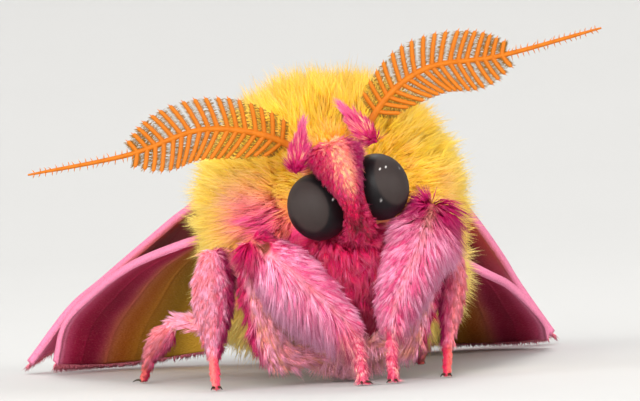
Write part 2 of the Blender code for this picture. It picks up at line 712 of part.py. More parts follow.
def main():
    clear_scene()
    body = make_thorax()
    eyes = make_eyes()
    head = make_head(body, eyes)
    tufts = make_tufts(head, eyes)
    make_antennae(body, head, tufts)
    for name, side in (("right", -1), ("left", 1)):
        make_wing("forewing_" + name, FOREWING, side, body)
        make_wing("hindwing_" + name, {**HINDWING, "costa": HINDWING_COSTA[name]}, side, body)
    make_abdomen(body)
    chest = make_chest(body, head, eyes)
    for name, spec in LEGS.items():
        make_leg(name, spec, (body, head, eyes, chest))
    trees = {obj.name: tree_of(obj) for obj in bpy.context.scene.objects}
    for name, spots, sink, bends in coats(trees):
        obj = bpy.data.objects[name]
        lay_coat(obj, spots, [tree for other, tree in trees.items() if other != name], sink, bends)
        trees[name] = tree_of(obj)
    for obj in stand_on_origin():
        paint(obj)


main()
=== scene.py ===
"""A rosy maple moth at life size: its skin, fur, scales and finish over the fixed solids, with a studio round it.

Everything is shaped in millimetres in the moth's own space: x to its left, y towards its tail, z up, with the
thorax over x = y = 0. SLIDE moves it into the frame, by the places of the wings' and the left eye's solids.
"""
import math

import bpy
import numpy as np
from mathutils import Matrix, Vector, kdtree


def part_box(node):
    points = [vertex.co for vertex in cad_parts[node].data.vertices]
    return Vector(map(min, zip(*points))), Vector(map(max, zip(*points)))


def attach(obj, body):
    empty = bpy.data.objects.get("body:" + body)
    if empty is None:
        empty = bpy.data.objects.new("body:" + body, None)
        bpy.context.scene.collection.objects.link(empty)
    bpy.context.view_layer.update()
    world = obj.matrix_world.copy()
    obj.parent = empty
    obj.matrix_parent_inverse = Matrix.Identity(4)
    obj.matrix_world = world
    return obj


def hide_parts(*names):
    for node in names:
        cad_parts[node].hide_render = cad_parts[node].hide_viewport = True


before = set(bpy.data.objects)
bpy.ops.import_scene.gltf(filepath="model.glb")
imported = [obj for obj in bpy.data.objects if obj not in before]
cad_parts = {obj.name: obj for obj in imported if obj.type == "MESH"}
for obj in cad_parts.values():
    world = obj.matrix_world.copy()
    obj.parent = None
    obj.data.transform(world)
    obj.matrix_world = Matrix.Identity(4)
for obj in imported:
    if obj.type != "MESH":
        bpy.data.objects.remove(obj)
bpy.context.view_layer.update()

MM = 0.001
DRAW = np.random.default_rng(11)
SIDES = {"right": -1, "left": 1}

# Camera
AZIMUTH = math.radians(-6)
ELEVATION = math.radians(0.5)
ROLL = math.radians(3)
TARGET = np.array((-0.29, 0, 5.27))
DISTANCE = 130
LENS_PIXELS = 4375
PHOTO_WIDTH = 640

# Floor and backdrop, then each light's place, size, power and colour
FLOOR_RINGS = (20, 60, 120, 200)
FLOOR_SIDES = 72
BACKDROP_RADIUS = 800
LIGHTS = {
    "key": ((-150, -450, 115), 360, 4.2, (1.0, 0.98, 0.95)),
    "fill": ((400, -360, 60), 320, 4.5, (1.0, 0.98, 0.96)),
    "side": ((-430, -120, 90), 300, 1.6, (1.0, 0.98, 0.95)),
    "rim": ((40, 290, 480), 300, 1.6, (1.0, 0.98, 0.95)),
}

# Head. FACE_HEIGHT is the height round which the mane changes its length and tones
FACE_HEIGHT = 5.3
HEAD_CENTRE = np.array((0, -4.75, 5.37))
HEAD_ROLL = math.radians(-15)
HEAD_TURN = math.radians(5)
EYE_OFFSET = np.array((0.93, -0.15, 0))
EYE_RADII = np.array((0.87, 0.89, 0.97))
EYE_CLEARANCE = 0.04
EYE_SPECKS = {
    "right": ((0.31, -0.78, 0.55), (0.36, -0.92, 0.12)),
    "left": ((0.06, -0.84, 0.54), (0.27, -0.8, 0.53), (-0.26, -0.9, -0.34), (0.72, -0.58, 0.38)),
}
SKULL_CENTRE = (0, 0.1, 0.2)
SKULL_RADII = (1.0, 1.0, 1.38)
FRONS_TOP = np.array((-0.12, -0.75, 1.3))
FRONS_FOOT = np.array((-0.24, -1.2, -0.75))
HORNS = {
    "right": np.array(((-1.3, -0.55, 1.2), (-0.52, -0.85, 2.85))),
    "left": np.array(((1.14, -0.55, 1.3), (0.28, -0.85, 2.95))),
}

# Thorax and chest, and the point between head and thorax from which the fur spreads
THORAX_CENTRE = np.array((0, 0, 4.8))
THORAX_RADII = np.array((3.44, 3.18, 3.44))
FLANK_CENTRE = (1.9, 0.2, 2.9)
FLANK_RADII = (1.5, 2.15, 1.55)
BREAST_CENTRE = (0.05, -2.9, 1.35)
BREAST_RADII = (1.15, 0.95, 0.85)
CHEST_CENTRE = (0.05, -3.85, 3.1)
CHEST_RADII = (1.3, 0.85, 1.45)
NECK = np.array((0, -4.6, 5.1))

ABDOMEN_AXIS = ((0, 1.6, 4.3), (0, 5.0, 3.5), (0, 8.0, 2.5), (0, 11.0, 1.3), (0, 13.2, 0.75))
ABDOMEN_RADII = (1.6, 1.7, 1.66, 1.55, 1.3, 0.95, 0.3)

ANTENNAE = {
    "right": ((-1.0, -4.75, 6.55), (-2.3, -5.0, 7.25), (-4.13, -5.0, 7.5), (-6.21, -4.8, 6.9),
              (-9.05, -4.4, 6.48)),
    "left": ((0.45, -4.75, 7.0), (1.3, -5.0, 8.2), (2.56, -5.0, 8.97), (4.63, -4.8, 9.19), (7.65, -4.4, 9.85)),
}
SHAFT_STEPS = 200
COMB_START = 0.1
COMB_END = 0.64
RAYS_PER_SIDE = 17
RAY_LENGTH = 0.84
HAIRS_PER_RAY_SIDE = 44

# Legs: hip, middle and knee, then knee, ankle and toe, then the half widths of the thigh's and the shin's flesh
LEGS = {
    "foreleg_right": (((-0.95, -3.7, 0.95), (-2.25, -4.0, 1.15), (-2.72, -4.0, 3.6)),
                      ((-2.6, -4.55, 4.1), (-0.1, -5.4, 1.6), (0.05, -5.95, 0.1)), 0.42, 0.66),
    "foreleg_left": (((0.9, -3.7, 0.95), (1.75, -4.0, 1.3), (2.4, -4.0, 4.2)),
                     ((2.35, -4.5, 4.8), (1.0, -5.35, 2.05), (0.9, -5.9, 0.1)), 0.38, 0.68),
    "midleg_right": (((-1.5, -2.2, 1.7), (-2.3, -2.75, 2.2), (-3.45, -2.5, 3.7)),
                     ((-3.8, -2.95, 3.8), (-3.95, -3.3, 1.1), (-4.0, -4.2, 0.1)), 0.32, 0.54),
    "midleg_left": (((1.5, -2.2, 1.7), (2.3, -2.75, 2.0), (3.15, -2.5, 3.4)),
                    ((3.27, -2.9, 3.45), (2.88, -3.3, 1.05), (2.68, -4.2, 0.1)), 0.32, 0.34),
    "hindleg_right": (((-1.3, 1.2, 1.05), (-2.9, 1.4, 1.5), (-4.4, 1.9, 1.85)),
                      ((-4.75, 2.05, 1.75), (-5.35, 2.4, 0.95), (-5.65, 2.8, 0.1)), 0.3, 0.3),
    "hindleg_left": (((1.1, 1.2, 1.05), (1.9, 1.5, 1.05), (2.65, 2.1, 1.3)),
                     ((2.75, 2.4, 1.25), (2.85, 2.9, 0.75), (2.95, 3.9, 0.1)), 0.3, 0.3),
}
TARSUS_RADIUS = 0.15
LIMB_STEPS = 40
SKIN_VOXEL = 0.1

# Wings of the left side. The right ones are their mirror image, apart from the hindwings' front edges
FOREWING = {
    "costa": ((2.7, -0.1, 5.85), (4.0, 2.4, 5.2), (5.15, 5.1, 4.2), (6.4, 8.8, 3.0), (7.35, 12.0, 2.05),
              (8.65, 13.7, 0.35)),
    "inner": ((2.2, 1.4, 6.85), (1.1, 4.0, 6.8), (0.6, 7.0, 6.0), (0.5, 10.0, 4.9), (0.6, 12.8, 3.7)),
    "bulge": 1.5,
    "camber": 0.55,
    "veins": (0.03, 0.15, 0.28, 0.41, 0.54, 0.68, 0.84),
}
HINDWING_COSTA = {
    "right": ((2.7, 1.1, 4.6), (4.5, 1.2, 4.13), (5.8, 4.4, 3.52), (6.8, 7.6, 2.67), (7.6, 10.2, 1.7),
              (7.9, 11.6, 0.4)),
    "left": ((2.7, 1.1, 4.0), (4.65, 1.2, 2.85), (5.9, 4.3, 2.3), (7.05, 7.5, 1.5), (7.7, 9.2, 0.9),
             (8.0, 10.6, 0.37)),
}
HINDWING = {
    "inner": ((2.5, 2.4, 4.5), (2.75, 4.0, 3.9), (2.85, 6.5, 2.9), (2.65, 9.0, 1.8), (2.6, 11.6, 0.6)),
    "bulge": 1.5,
    "camber": 0.35,
    "veins": (0.04, 0.2, 0.38, 0.56, 0.76),
}
WING_HALF_THICKNESS = 0.05
VEIN_HEIGHT = 0.07
WING_EDGE_POINTS = 25
WING_GRID = 110
FRINGE_SCALES = 2600
OUTER_FRINGE_SCALES = 1700
LOWEST_FRINGE = 0.05

# Coats: hairs to the square millimetre, their length, stand from 0 lying to 1 upright, half width, clumping and
# tousling
COATS = {
    "thorax": (760, 1.2, 0.5, 0.0128, 0.14, 0.2),
    "breast": (900, 0.75, 0.4, 0.0115, 0.4, 0.34),
    "skull": (1400, 0.7, 0.62, 0.0115, 0.5, 0.5),
    "face": (2900, 0.27, 0.24, 0.008, 0.35, 0.15),
    "palp": (1800, 0.26, 0.25, 0.009, 0.35, 0.1),
    "horn": (2800, 0.5, 0.2, 0.009, 0.3, 0.08),
    "chest": (1150, 0.9, 0.3, 0.0105, 0.5, 0.18),
    "abdomen": (222, 1.1, 0.3, 0.017, 0.4, 0.14),
    "thigh": (900, 0.5, 0.34, 0.0105, 0.3, 0.16),
    "foreshin": (1600, 0.7, 0.24, 0.0098, 0.3, 0.09),
    "shin": (1150, 0.42, 0.24, 0.0098, 0.26, 0.1),
}
# Each hair: how far along it its ring of points lies, its number of points, how deep its root is in the skin, and
# the lowest heights of its bend and tip, so that none goes through the floor
HAIR_RING = 0.42
HAIR_POINTS = 5
ROOT_DEPTH = 0.06
LOWEST_BEND = 0.06
LOWEST_TIP = 0.04
# Hairs to a clump and to a piece, and the width of a hair's patch on the unwrap
CLUMP_SIZE = 12
HAIRS_PER_PIECE = 32500
PATCH = 0.003


def unit(v):
    """Vectors of length one."""
    return v / np.maximum(np.linalg.norm(v, axis=-1, keepdims=True), 1e-9)


def soft(x, low, high):
    """0 below low, 1 above high and a smooth step between."""
    t = np.clip((x - low) / (high - low), 0, 1)
    return t * t * (3 - 2 * t)


def fade(x, low, high):
    """1 below low, 0 above high and a smooth step between."""
    return soft(-x, -high, -low)


def hump(x, middle, reach):
    """1 at the middle, fading out over its reach to both sides."""
    return np.exp(-((x - middle) / reach) ** 2)


def spot(p, centre, reach):
    """1 at a point in space, fading out over its reach along each axis."""
    return np.exp(-(((p - np.array(centre)) / np.array(reach)) ** 2).sum(-1))


def spots(p, places):
    """The strongest of several spots, each given by its centre and reach."""
    return np.max([spot(p, centre, reach) for centre, reach in places], axis=0)


def vectors(x, y, z):
    """An array of vectors from their parts, where a single number stands for a whole row."""
    return np.stack(np.broadcast_arrays(x, y, z), 1)


def blend(share, a, b):
    """Between a and b by a share for each row."""
    share = np.asarray(share)
    if np.ndim(a) > 1 or np.ndim(b) > 1 or np.shape(a) == (3,) or np.shape(b) == (3,):
        share = share[..., None]
    return a * (1 - share) + b * share


def smooth_path(points, count):
    """Evenly spaced points on a Catmull-Rom curve through the given ones."""
    p = np.asarray(points, float)
    p = np.vstack((2 * p[0] - p[1], p, 2 * p[-1] - p[-2]))
    t = np.linspace(0, 1, 12, endpoint=False)[:, None]
    fine = []
    for a, b, c, d in zip(p, p[1:], p[2:], p[3:]):
        fine.append(0.5 * (2 * b + (c - a) * t + (2 * a - 5 * b + 4 * c - d) * t ** 2
                           + (3 * b - a - 3 * c + d) * t ** 3))
    fine = np.vstack((*fine, p[-2]))
    run = np.concatenate(([0], np.cumsum(np.linalg.norm(np.diff(fine, axis=0), axis=1))))
    wanted = np.linspace(0, run[-1], count)
    return np.stack([np.interp(wanted, run, fine[:, k]) for k in range(3)], axis=1)


def turning(angle, axis):
    """A rotation as an array."""
    return np.array(Matrix.Rotation(angle, 3, axis))


HEAD_AXES = turning(HEAD_TURN, "Z") @ turning(HEAD_ROLL, "Y")


def head_point(p):
    """A point or points of the head's own space, placed on the moth."""
    return HEAD_CENTRE + np.asarray(p) @ HEAD_AXES.T


def in_head(p):
    """Points on the moth, in the head's own space."""
    return (p - HEAD_CENTRE) @ HEAD_AXES


def from_face(p):
    """How far each point is from the middle of the face, seen from the front."""
    return np.hypot(p[:, 0], p[:, 2] - FACE_HEIGHT)


def on_side(p, side):
    """Points of the left side, mirrored where side is -1."""
    return np.asarray(p, float) * np.array((side, 1, 1))


EYES = {name: head_point(on_side(EYE_OFFSET, side)) for name, side in SIDES.items()}


def eye_room(p):
    """How far each point is from the nearer eye's surface."""
    gaps = [np.linalg.norm(((p - centre) @ HEAD_AXES) / EYE_RADII, axis=1) - 1 for centre in EYES.values()]
    return np.minimum(*gaps) * EYE_RADII.min()


def clear_of_eyes(p):
    """Points moved out of the eyes."""
    radii = EYE_RADII + EYE_CLEARANCE
    for centre in EYES.values():
        q = ((p - centre) @ HEAD_AXES) / radii
        size = np.linalg.norm(q, axis=1, keepdims=True)
        q = np.where(size < 1, q / np.maximum(size, 1e-6), q)
        p = centre + (q * radii) @ HEAD_AXES.T
    return p


# Materials

class Link:
    """A node's output, which takes part in sums with numbers and other outputs."""

    def __init__(self, finish, socket):
        self.finish = finish
        self.socket = socket

    def __add__(self, other):
        return self.finish.math("ADD", self, other)

    def __radd__(self, other):
        return self.finish.math("ADD", other, self)

    def __sub__(self, other):
        return self.finish.math("SUBTRACT", self, other)

    def __rsub__(self, other):
        return self.finish.math("SUBTRACT", other, self)

    def __mul__(self, other):
        return self.finish.math("MULTIPLY", self, other)

    def __rmul__(self, other):
        return self.finish.math("MULTIPLY", other, self)

    def __pow__(self, other):
        return self.finish.math("POWER", self, other)

    def __rpow__(self, other):
        return self.finish.math("POWER", other, self)


class Finish:
    """A material in the making: a Principled shader and the nodes that feed it."""

    def __init__(self, name, **constants):
        self.material = bpy.data.materials.new(name)
        self.material.use_nodes = True
        self.tree = self.material.node_tree
        self.shader = next(n for n in self.tree.nodes if n.type == "BSDF_PRINCIPLED")
        for key, value in constants.items():
            self.shader.inputs[key.replace("_", " ")].default_value = value

    def feed(self, target, value):
        """Links or sets one input."""
        if isinstance(value, Link):
            self.tree.links.new(value.socket, target)
        else:
            target.default_value = value

    def add(self, kind, settings, inputs, output=0):
        """A new node: its settings first, then its inputs, by name or number."""
        node = self.tree.nodes.new("ShaderNode" + kind)
        for key, value in settings.items():
            setattr(node, key, value)
        for key, value in inputs.items():
            self.feed(node.inputs[key], value)
        return Link(self, node.outputs[output])

    def math(self, operation, *values):
        """A Math node on numbers and outputs."""
        return self.add("Math", {"operation": operation}, dict(enumerate(values)))

    def mix(self, share, a, b, way="MIX"):
        """Colour a where the share is 0; where it is 1, colour b, or a times b with MULTIPLY."""
        return self.add("Mix", {"data_type": "RGBA", "blend_type": way}, {0: share, 6: a, 7: b}, 2)

    def mark(self, name, output="Fac"):
        """A mesh attribute: a share with Fac, a vector with Vector."""
        return self.add("Attribute", {"attribute_name": name}, {}, output)

    def tinted(self, colour, tones):
        """A colour with each tone laid over it in the share that its mark gives."""
        for name, tone in tones.items():
            colour = self.mix(self.mark(name), colour, tone)
        return colour

    def noise(self, scale, detail=2.0, place=None):
        """Noise over the moth's own space, in features to the millimetre, or over another place."""
        place = place or self.mark("place", "Vector")
        return self.add("TexNoise", {}, {"Vector": place, "Scale": scale, "Detail": detail})

    def cells(self, mark, scale):
        """The distance from the middle of small cells laid out by a mark."""
        return self.add("TexVoronoi", {}, {"Vector": self.mark(mark, "Vector"), "Scale": scale}, "Distance")

    def step(self, value, low, high):
        """A smooth 0 to 1 as the value passes from low to high."""
        inputs = {"Value": value, "From Min": low, "From Max": high}
        return self.add("MapRange", {"interpolation_type": "SMOOTHSTEP"}, inputs)

    def bump(self, height, strength, distance):
        """Relief on the shader's normal, its depth in millimetres."""
        inputs = {"Height": height, "Strength": strength, "Distance": distance * MM}
        self.feed(self.shader.inputs["Normal"], self.add("Bump", {}, inputs))

    def set(self, **inputs):
        """Feeds the shader's inputs and returns the finished material."""
        for key, value in inputs.items():
            self.feed(self.shader.inputs[key.replace("_", " ")], value)
        return self.material


def rgb(r, g, b):
    """An opaque colour."""
    return (r, g, b, 1.0)


YELLOW = rgb(0.98, 0.7, 0.05)
FUR_TONES = {
    "gold": rgb(0.9, 0.36, 0.006),
    "peach": rgb(0.97, 0.38, 0.33),
    "rose": rgb(0.86, 0.065, 0.29),
    "crimson": rgb(0.6, 0.004, 0.085),
    "violet": rgb(0.36, 0.003, 0.12),
    "cream": rgb(1.0, 0.78, 0.36),
    "lilac": rgb(0.98, 0.46, 0.71),
    # Dark brown, used mostly as painted shade in creases and hollows
    "umber": rgb(0.14, 0.008, 0.016),
}
WING_YELLOW = rgb(0.9, 0.54, 0.06)
# On the wings' under side the olive, brown-red, crimson and dark red tones are painted shade over its rose and
# yellow; the pale lilac rim is partly a painted highlight
WING_TONES = {
    "rose": rgb(0.8, 0.14, 0.3),
    "olive": rgb(0.2, 0.095, 0.002),
    "rust_painted_shade": rgb(0.3, 0.035, 0.004),
    "crimson": rgb(0.42, 0.006, 0.06),
    "maroon_painted_shade": rgb(0.12, 0.002, 0.014),
    "lilac": rgb(0.74, 0.22, 0.37),
}


def coat_finish():
    """Hairs: darker at the root, a painted shade deep in the fur, paler at the tip, a painted sheen, each one a
    little different.
    """
    finish = Finish("hair scales", Roughness=0.6, Specular_IOR_Level=0.08)
    along = finish.mark("along")
    chance = finish.mark("chance")
    colour = finish.tinted(YELLOW, FUR_TONES)
    # Painted shade: each hair darker towards its root, where the fur shades itself
    colour = finish.mix((1 - along) ** 1.5, colour, rgb(1.0, 0.76, 0.6), "MULTIPLY")
    # Painted sheen: a pale tint towards the tip
    colour = finish.mix(finish.step(along, 0.5, 1.0) * (chance * 0.12 + 0.01), colour, rgb(1, 0.92, 0.78))
    varied = {"Hue": chance * 0.014 + 0.493, "Value": chance * 0.26 + 0.9, "Color": colour}
    return finish.set(Base_Color=finish.add("HueSaturation", {}, varied))


def skin_finish():
    """The skin under the fur, with the same markings, felted with short scales."""
    finish = Finish("felted skin", Specular_IOR_Level=0.2)
    felt = finish.noise(9.0, 4.0)
    bare = finish.mark("bare")
    colour = finish.tinted(YELLOW, FUR_TONES)
    colour = finish.mix(felt * 0.5 + 0.3, colour, rgb(0.95, 0.66, 0.5), "MULTIPLY")
    colour = finish.mix(bare, colour, rgb(0.16, 0.03, 0.015))
    finish.bump(felt, 0.7, 0.12)
    return finish.set(Base_Color=colour, Roughness=0.85 - bare * 0.45)


def eye_finish():
    """A near-black compound eye: fine facets, a painted brown-grey sheen on the outer side and a few pale specks.
    """
    finish = Finish("facets", Specular_IOR_Level=0.2)
    painted_sheen = finish.mark("painted_sheen")
    # Painted sheen: the outer side's brown-grey, mottled by noise, stands in for a dull reflection
    patchy_painted_sheen = painted_sheen * (finish.noise(1.6) * 0.35 + 0.65)
    colour = finish.mix(patchy_painted_sheen, rgb(0.004, 0.003, 0.004), rgb(0.034, 0.024, 0.022))
    colour = finish.mix(finish.mark("speck"), colour, rgb(0.75, 0.73, 0.72))
    finish.bump(1 - finish.cells("place", 30.0), 0.3, 0.01)
    return finish.set(Base_Color=colour, Roughness=painted_sheen * 0.16 + 0.46)


def comb_finish():
    """Amber chitin with fine rings and a dusting of pale scales, and the olive-brown hairs between the rays."""
    finish = Finish("amber chitin", Specular_IOR_Level=0.18)
    grain = finish.noise(14.0, 3.0)
    colour = finish.mix(grain, rgb(0.33, 0.072, 0.001), rgb(0.5, 0.14, 0.003))
    colour = finish.mix(finish.step(finish.mark("along"), 0.94, 0.96), colour, rgb(0.26, 0.13, 0.02))
    colour = finish.mix(finish.mark("pale"), colour, rgb(0.62, 0.18, 0.01))
    finish.bump(grain, 0.5, 0.03)
    return finish.set(Base_Color=colour, Roughness=grain * 0.3 + 0.4)


def claw_finish():
    """Dark horn with a greenish brown base."""
    finish = Finish("horn", Specular_IOR_Level=0.5)
    colour = finish.mix(finish.mark("along"), rgb(0.05, 0.035, 0.012), rgb(0.012, 0.006, 0.004))
    return finish.set(Base_Color=colour, Roughness=finish.noise(12.0) * 0.25 + 0.25)


def wing_finish():
    """Scaled membrane: yellow under the tones of its marks, with rows of fine scales."""
    finish = Finish("wing scales", Specular_IOR_Level=0.08)
    speck = finish.noise(16.0, 3.0)
    colour = finish.tinted(WING_YELLOW, WING_TONES)
    colour = finish.mix(finish.step(speck, 0.5, 0.8) * 0.12, colour, rgb(0.95, 0.45, 0.36))
    colour = finish.mix(finish.step(speck, 0.5, 0.25) * 0.5, colour, rgb(0.6, 0.3, 0.3), "MULTIPLY")
    finish.bump(finish.cells("rows", 1.0), 0.6, 0.02)
    return finish.set(Base_Color=colour, Roughness=speck * 0.25 + 0.6)


def stage_finish():
    """A pale, matt studio floor."""
    finish = Finish("pale floor", Roughness=0.9, Specular_IOR_Level=0.1)
    grain = finish.noise(40.0, 3.0, finish.add("TexCoord", {}, {}, "Object"))
    return finish.set(Base_Color=finish.mix(grain * 0.2, rgb(0.62, 0.62, 0.61), rgb(0.57, 0.57, 0.56)))


# Meshes

def mesh_of(name, points, faces):
    """A mesh from arrays of points, in metres, and triangles."""
    mesh = bpy.data.meshes.new(name)
    mesh.vertices.add(len(points))
    mesh.vertices.foreach_set("co", points.astype(np.float32).ravel())
    mesh.loops.add(faces.size)
    mesh.loops.foreach_set("vertex_index", faces.astype(np.int32).ravel())
    mesh.polygons.add(len(faces))
    mesh.polygons.foreach_set("loop_start", np.arange(0, faces.size, 3, dtype=np.int32))
    mesh.update(calc_edges=True)
    return mesh


def frame_slide():
    """How far to move the moth onto its solids, in millimetres: by the wings across and by an eye along."""
    wings = [corner.x for name in ("forewing_left", "forewing_right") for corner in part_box(name)]
    low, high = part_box("eye_left")
    return np.array((sum(wings) / 4 / MM, (low.y + high.y) / 2 / MM - EYES["left"][1], 0))


SLIDE = frame_slide()


def make_piece(name, points, faces, finish, slot, nodes, marks, patches=None):
    """A finished piece from points in millimetres and triangles, which stands for the named nodes."""
    mesh = mesh_of(name, (points + SLIDE) * MM, faces)
    for mark, values in (marks | {"place": points}).items():
        kind, field = ("FLOAT_VECTOR", "vector") if values.ndim == 2 else ("FLOAT", "value")
        mesh.attributes.new(mark, kind, "POINT").data.foreach_set(field, values.astype(np.float32).ravel())
    if patches is not None:
        layer = mesh.uv_layers.new(name="OFBake")
        layer.data.foreach_set("uv", patches[faces.ravel()].astype(np.float32).ravel())
    mesh.materials.append(finish)
    obj = bpy.data.objects.new(name, mesh)
    bpy.context.scene.collection.objects.link(obj)
    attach(obj, "root")
    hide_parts(*nodes)


def gather(parts):
    """Joins (points, faces, marks) parts into one."""
    points, faces, marks, start = [], [], {}, 0
    for p, f, m in parts:
        points.append(p)
        faces.append(f + start)
        start += len(p)
        for key, value in m.items():
            marks.setdefault(key, []).append(value)
    return np.vstack(points), np.vstack(faces), {k: np.concatenate(v) for k, v in marks.items()}


def halved(a, b, c, d):
    """Two triangles for each four-cornered face."""
    return np.concatenate((np.stack((a, b, c), 1), np.stack((a, c, d), 1)))


def ring_faces(rings, sides):
    """Triangles between successive rings of a tube, and fans over both ends."""
    i, k = np.meshgrid(np.arange(rings - 1), np.arange(sides), indexing="ij")
    a, b = (i * sides + k).ravel(), (i * sides + (k + 1) % sides).ravel()
    fan = np.arange(1, sides - 1)
    first = np.stack((np.zeros_like(fan), fan + 1, fan), 1)
    last = np.stack((np.zeros_like(fan), fan, fan + 1), 1) + (rings - 1) * sides
    return np.concatenate((halved(a, b, b + sides, a + sides), first, last))


def tube(path, wide, deep, across, sides):
    """Points and faces of a closed tube of elliptical section, with its run from 0 to 1."""
    ahead = unit(np.gradient(path, axis=0))
    side = unit(across - ahead * (ahead @ across)[:, None])
    up = np.cross(ahead, side)
    turn = (2 * math.pi * (np.arange(sides) + 0.5) / sides)[None, :, None]
    rings = (path[:, None] + side[:, None] * np.cos(turn) * wide[:, None, None]
             + up[:, None] * np.sin(turn) * deep[:, None, None])
    along = np.repeat(np.linspace(0, 1, len(path)), sides)
    return rings.reshape(-1, 3), ring_faces(len(path), sides), along


def rounded(path, wide, deep):
    """The path and half widths with a dome added at each end."""
    head = unit(path[0] - path[1]) * min(wide[0], deep[0])
    tail = unit(path[-1] - path[-2]) * min(wide[-1], deep[-1])
    # How far each ring of a dome rises, and its share of the full width
    rises = ((0.98, 0.15), (0.8, 0.6), (0.45, 0.88))
    first = [path[0] + head * rise for rise, _ in rises]
    last = [path[-1] + tail * rise for rise, _ in rises[::-1]]
    path = np.vstack(first + [path] + last)
    shares = np.array([share for _, share in rises])
    wide = np.concatenate((wide[0] * shares, wide, wide[-1] * shares[::-1]))
    deep = np.concatenate((deep[0] * shares, deep, deep[-1] * shares[::-1]))
    return path, wide, deep


def ball_mesh(centre, radii, axes, sides, rings):
    """A closed ball as a tube of rings round its own z axis, with the same points on a unit ball."""
    steepest = math.pi / 2 - 0.02
    tilt = np.linspace(-steepest, steepest, rings)[:, None]
    turn = 2 * math.pi * np.arange(sides) / sides
    x, y, z = np.broadcast_arrays(np.cos(tilt) * np.cos(turn), np.cos(tilt) * np.sin(turn), np.sin(tilt))
    shell = np.stack((x, y, z), -1).reshape(-1, 3)
    return centre + (shell * radii) @ axes.T, ring_faces(rings, sides), shell


# Flesh

class Ball:
    """A round form of flesh."""

    def __init__(self, kind, nodes, centre, radii, axes=np.eye(3)):
        self.kind, self.nodes = kind, nodes
        self.centre, self.radii, self.axes = centre, np.asarray(radii), axes

    def own(self, p):
        """Points in the ball's own space, where it is a unit ball."""
        return ((p - self.centre) @ self.axes) / self.radii

    def depth(self, p):
        """How far each point is outside the form."""
        return (np.linalg.norm(self.own(p), axis=1) - 1) * self.radii.min()

    def unwrap(self, p):
        """Longitude and height, each from 0 to 1, with the seam at the back."""
        q = unit(self.own(p))
        return np.stack((0.5 + np.arctan2(q[:, 0], -q[:, 1]) / (2 * math.pi), 0.5 + q[:, 2] / 2), 1)

    def mesh(self):
        """The form's points and faces, without marks."""
        points, faces, _ = ball_mesh(self.centre, self.radii, self.axes, sides=48, rings=32)
        return points, faces, {}


class Limb:
    """A long form of flesh along a smooth path."""

    def __init__(self, kind, nodes, points, wide, deep=None, across=(1.0, 0.0, 0.0)):
        self.kind, self.nodes = kind, nodes
        self.path = smooth_path(points, LIMB_STEPS + 1)
        run = np.linspace(0, 1, LIMB_STEPS + 1)
        self.wide, self.deep = (np.interp(run, np.linspace(0, 1, len(half)), half)
                                for half in (wide, deep or wide))
        self.across = np.array(across)
        self.ahead = unit(np.gradient(self.path, axis=0))
        self.side = unit(self.across - self.ahead * (self.ahead @ self.across)[:, None])
        self.up = np.cross(self.ahead, self.side)

    def step(self, p):
        """For each point, the number of the nearest step of the path."""
        parts = np.array_split(p, max(1, len(p) // 20000))
        return np.concatenate([((q[:, None] - self.path) ** 2).sum(-1).argmin(1) for q in parts])

    def nearest(self, p):
        """For each point, the nearest step of the path and the way out from it."""
        k = self.step(p)
        out = p - self.path[k]
        return k, unit(out - self.ahead[k] * (out * self.ahead[k]).sum(1)[:, None])

    def depth(self, p):
        """How far each point is outside the form."""
        k = self.step(p)
        return np.linalg.norm(p - self.path[k], axis=1) - (self.wide[k] + self.deep[k]) / 2

    def unwrap(self, p):
        """Angle round the limb and run along it, each from 0 to 1."""
        k, way = self.nearest(p)
        turn = np.arctan2((way * self.up[k]).sum(1), (way * self.side[k]).sum(1))
        return np.stack((0.5 + turn / (2 * math.pi), k / LIMB_STEPS), 1)

    def mesh(self):
        """The form's points and faces, without marks."""
        points, faces, _ = tube(*rounded(self.path, self.wide, self.deep), self.across, sides=18)
        return points, faces, {}


def head_forms():
    """Skull, face plate, palps and the cores of the two horns of scales."""
    across = HEAD_AXES @ np.array((1.0, 0, 0))
    yield Ball("skull", ["head"], head_point(SKULL_CENTRE), SKULL_RADII, HEAD_AXES)
    bow = ((0, 0), (0.33, -0.16), (0.67, -0.16), (1, 0))
    face = [head_point(FRONS_TOP * (1 - t) + FRONS_FOOT * t + np.array((0, y, 0))) for t, y in bow]
    yield Limb("face", ["head"], face, (0.73, 0.56, 0.4, 0.21, 0.08), (0.4, 0.44, 0.44, 0.36, 0.24), across)
    for side in SIDES.values():
        palp = [head_point((side * (0.15 + 0.09 * t) - 0.2, -0.85 - 0.25 * math.sin(2.4 * t), -0.55 - 0.71 * t))
                for t in (0, 0.35, 0.65, 0.9)]
        yield Limb("palp", ["head"], palp, (0.1, 0.12, 0.1, 0.06))
    for name, (foot, tip) in HORNS.items():
        horn = [head_point(foot * (1 - t) + tip * t) for t in (0, 0.2, 0.45, 0.72)]
        yield Limb("horn", ["tuft_" + name], horn, (0.12, 0.2, 0.17, 0.11, 0.04))


def leg_forms():
    """Thigh and shin of each leg, the shin with its foot."""
    for name, (thigh, shin, thick, thin) in LEGS.items():
        wide = [thick * share for share in (0.6, 0.8, 0.95, 1, 1, 0.85, 0.6)]
        knee, ankle, toe = (np.array(q) for q in shin)
        yield Limb("thigh", [name + "_thigh"], (*thigh, knee), wide, [w * 0.75 for w in wide])
        bend = ankle * 0.75 + toe * 0.25
        path = [knee, knee * 0.55 + ankle * 0.45, knee * 0.1 + ankle * 0.9, bend, toe]
        wide = [thin * share for share in (0.55, 0.95, 1, 0.85, 0.55)]
        wide += [TARSUS_RADIUS * share for share in (1, 1, 0.8)]
        kind = "foreshin" if name.startswith("foreleg") else "shin"
        yield Limb(kind, [name + "_shin"], path, wide, [w * 0.85 for w in wide])


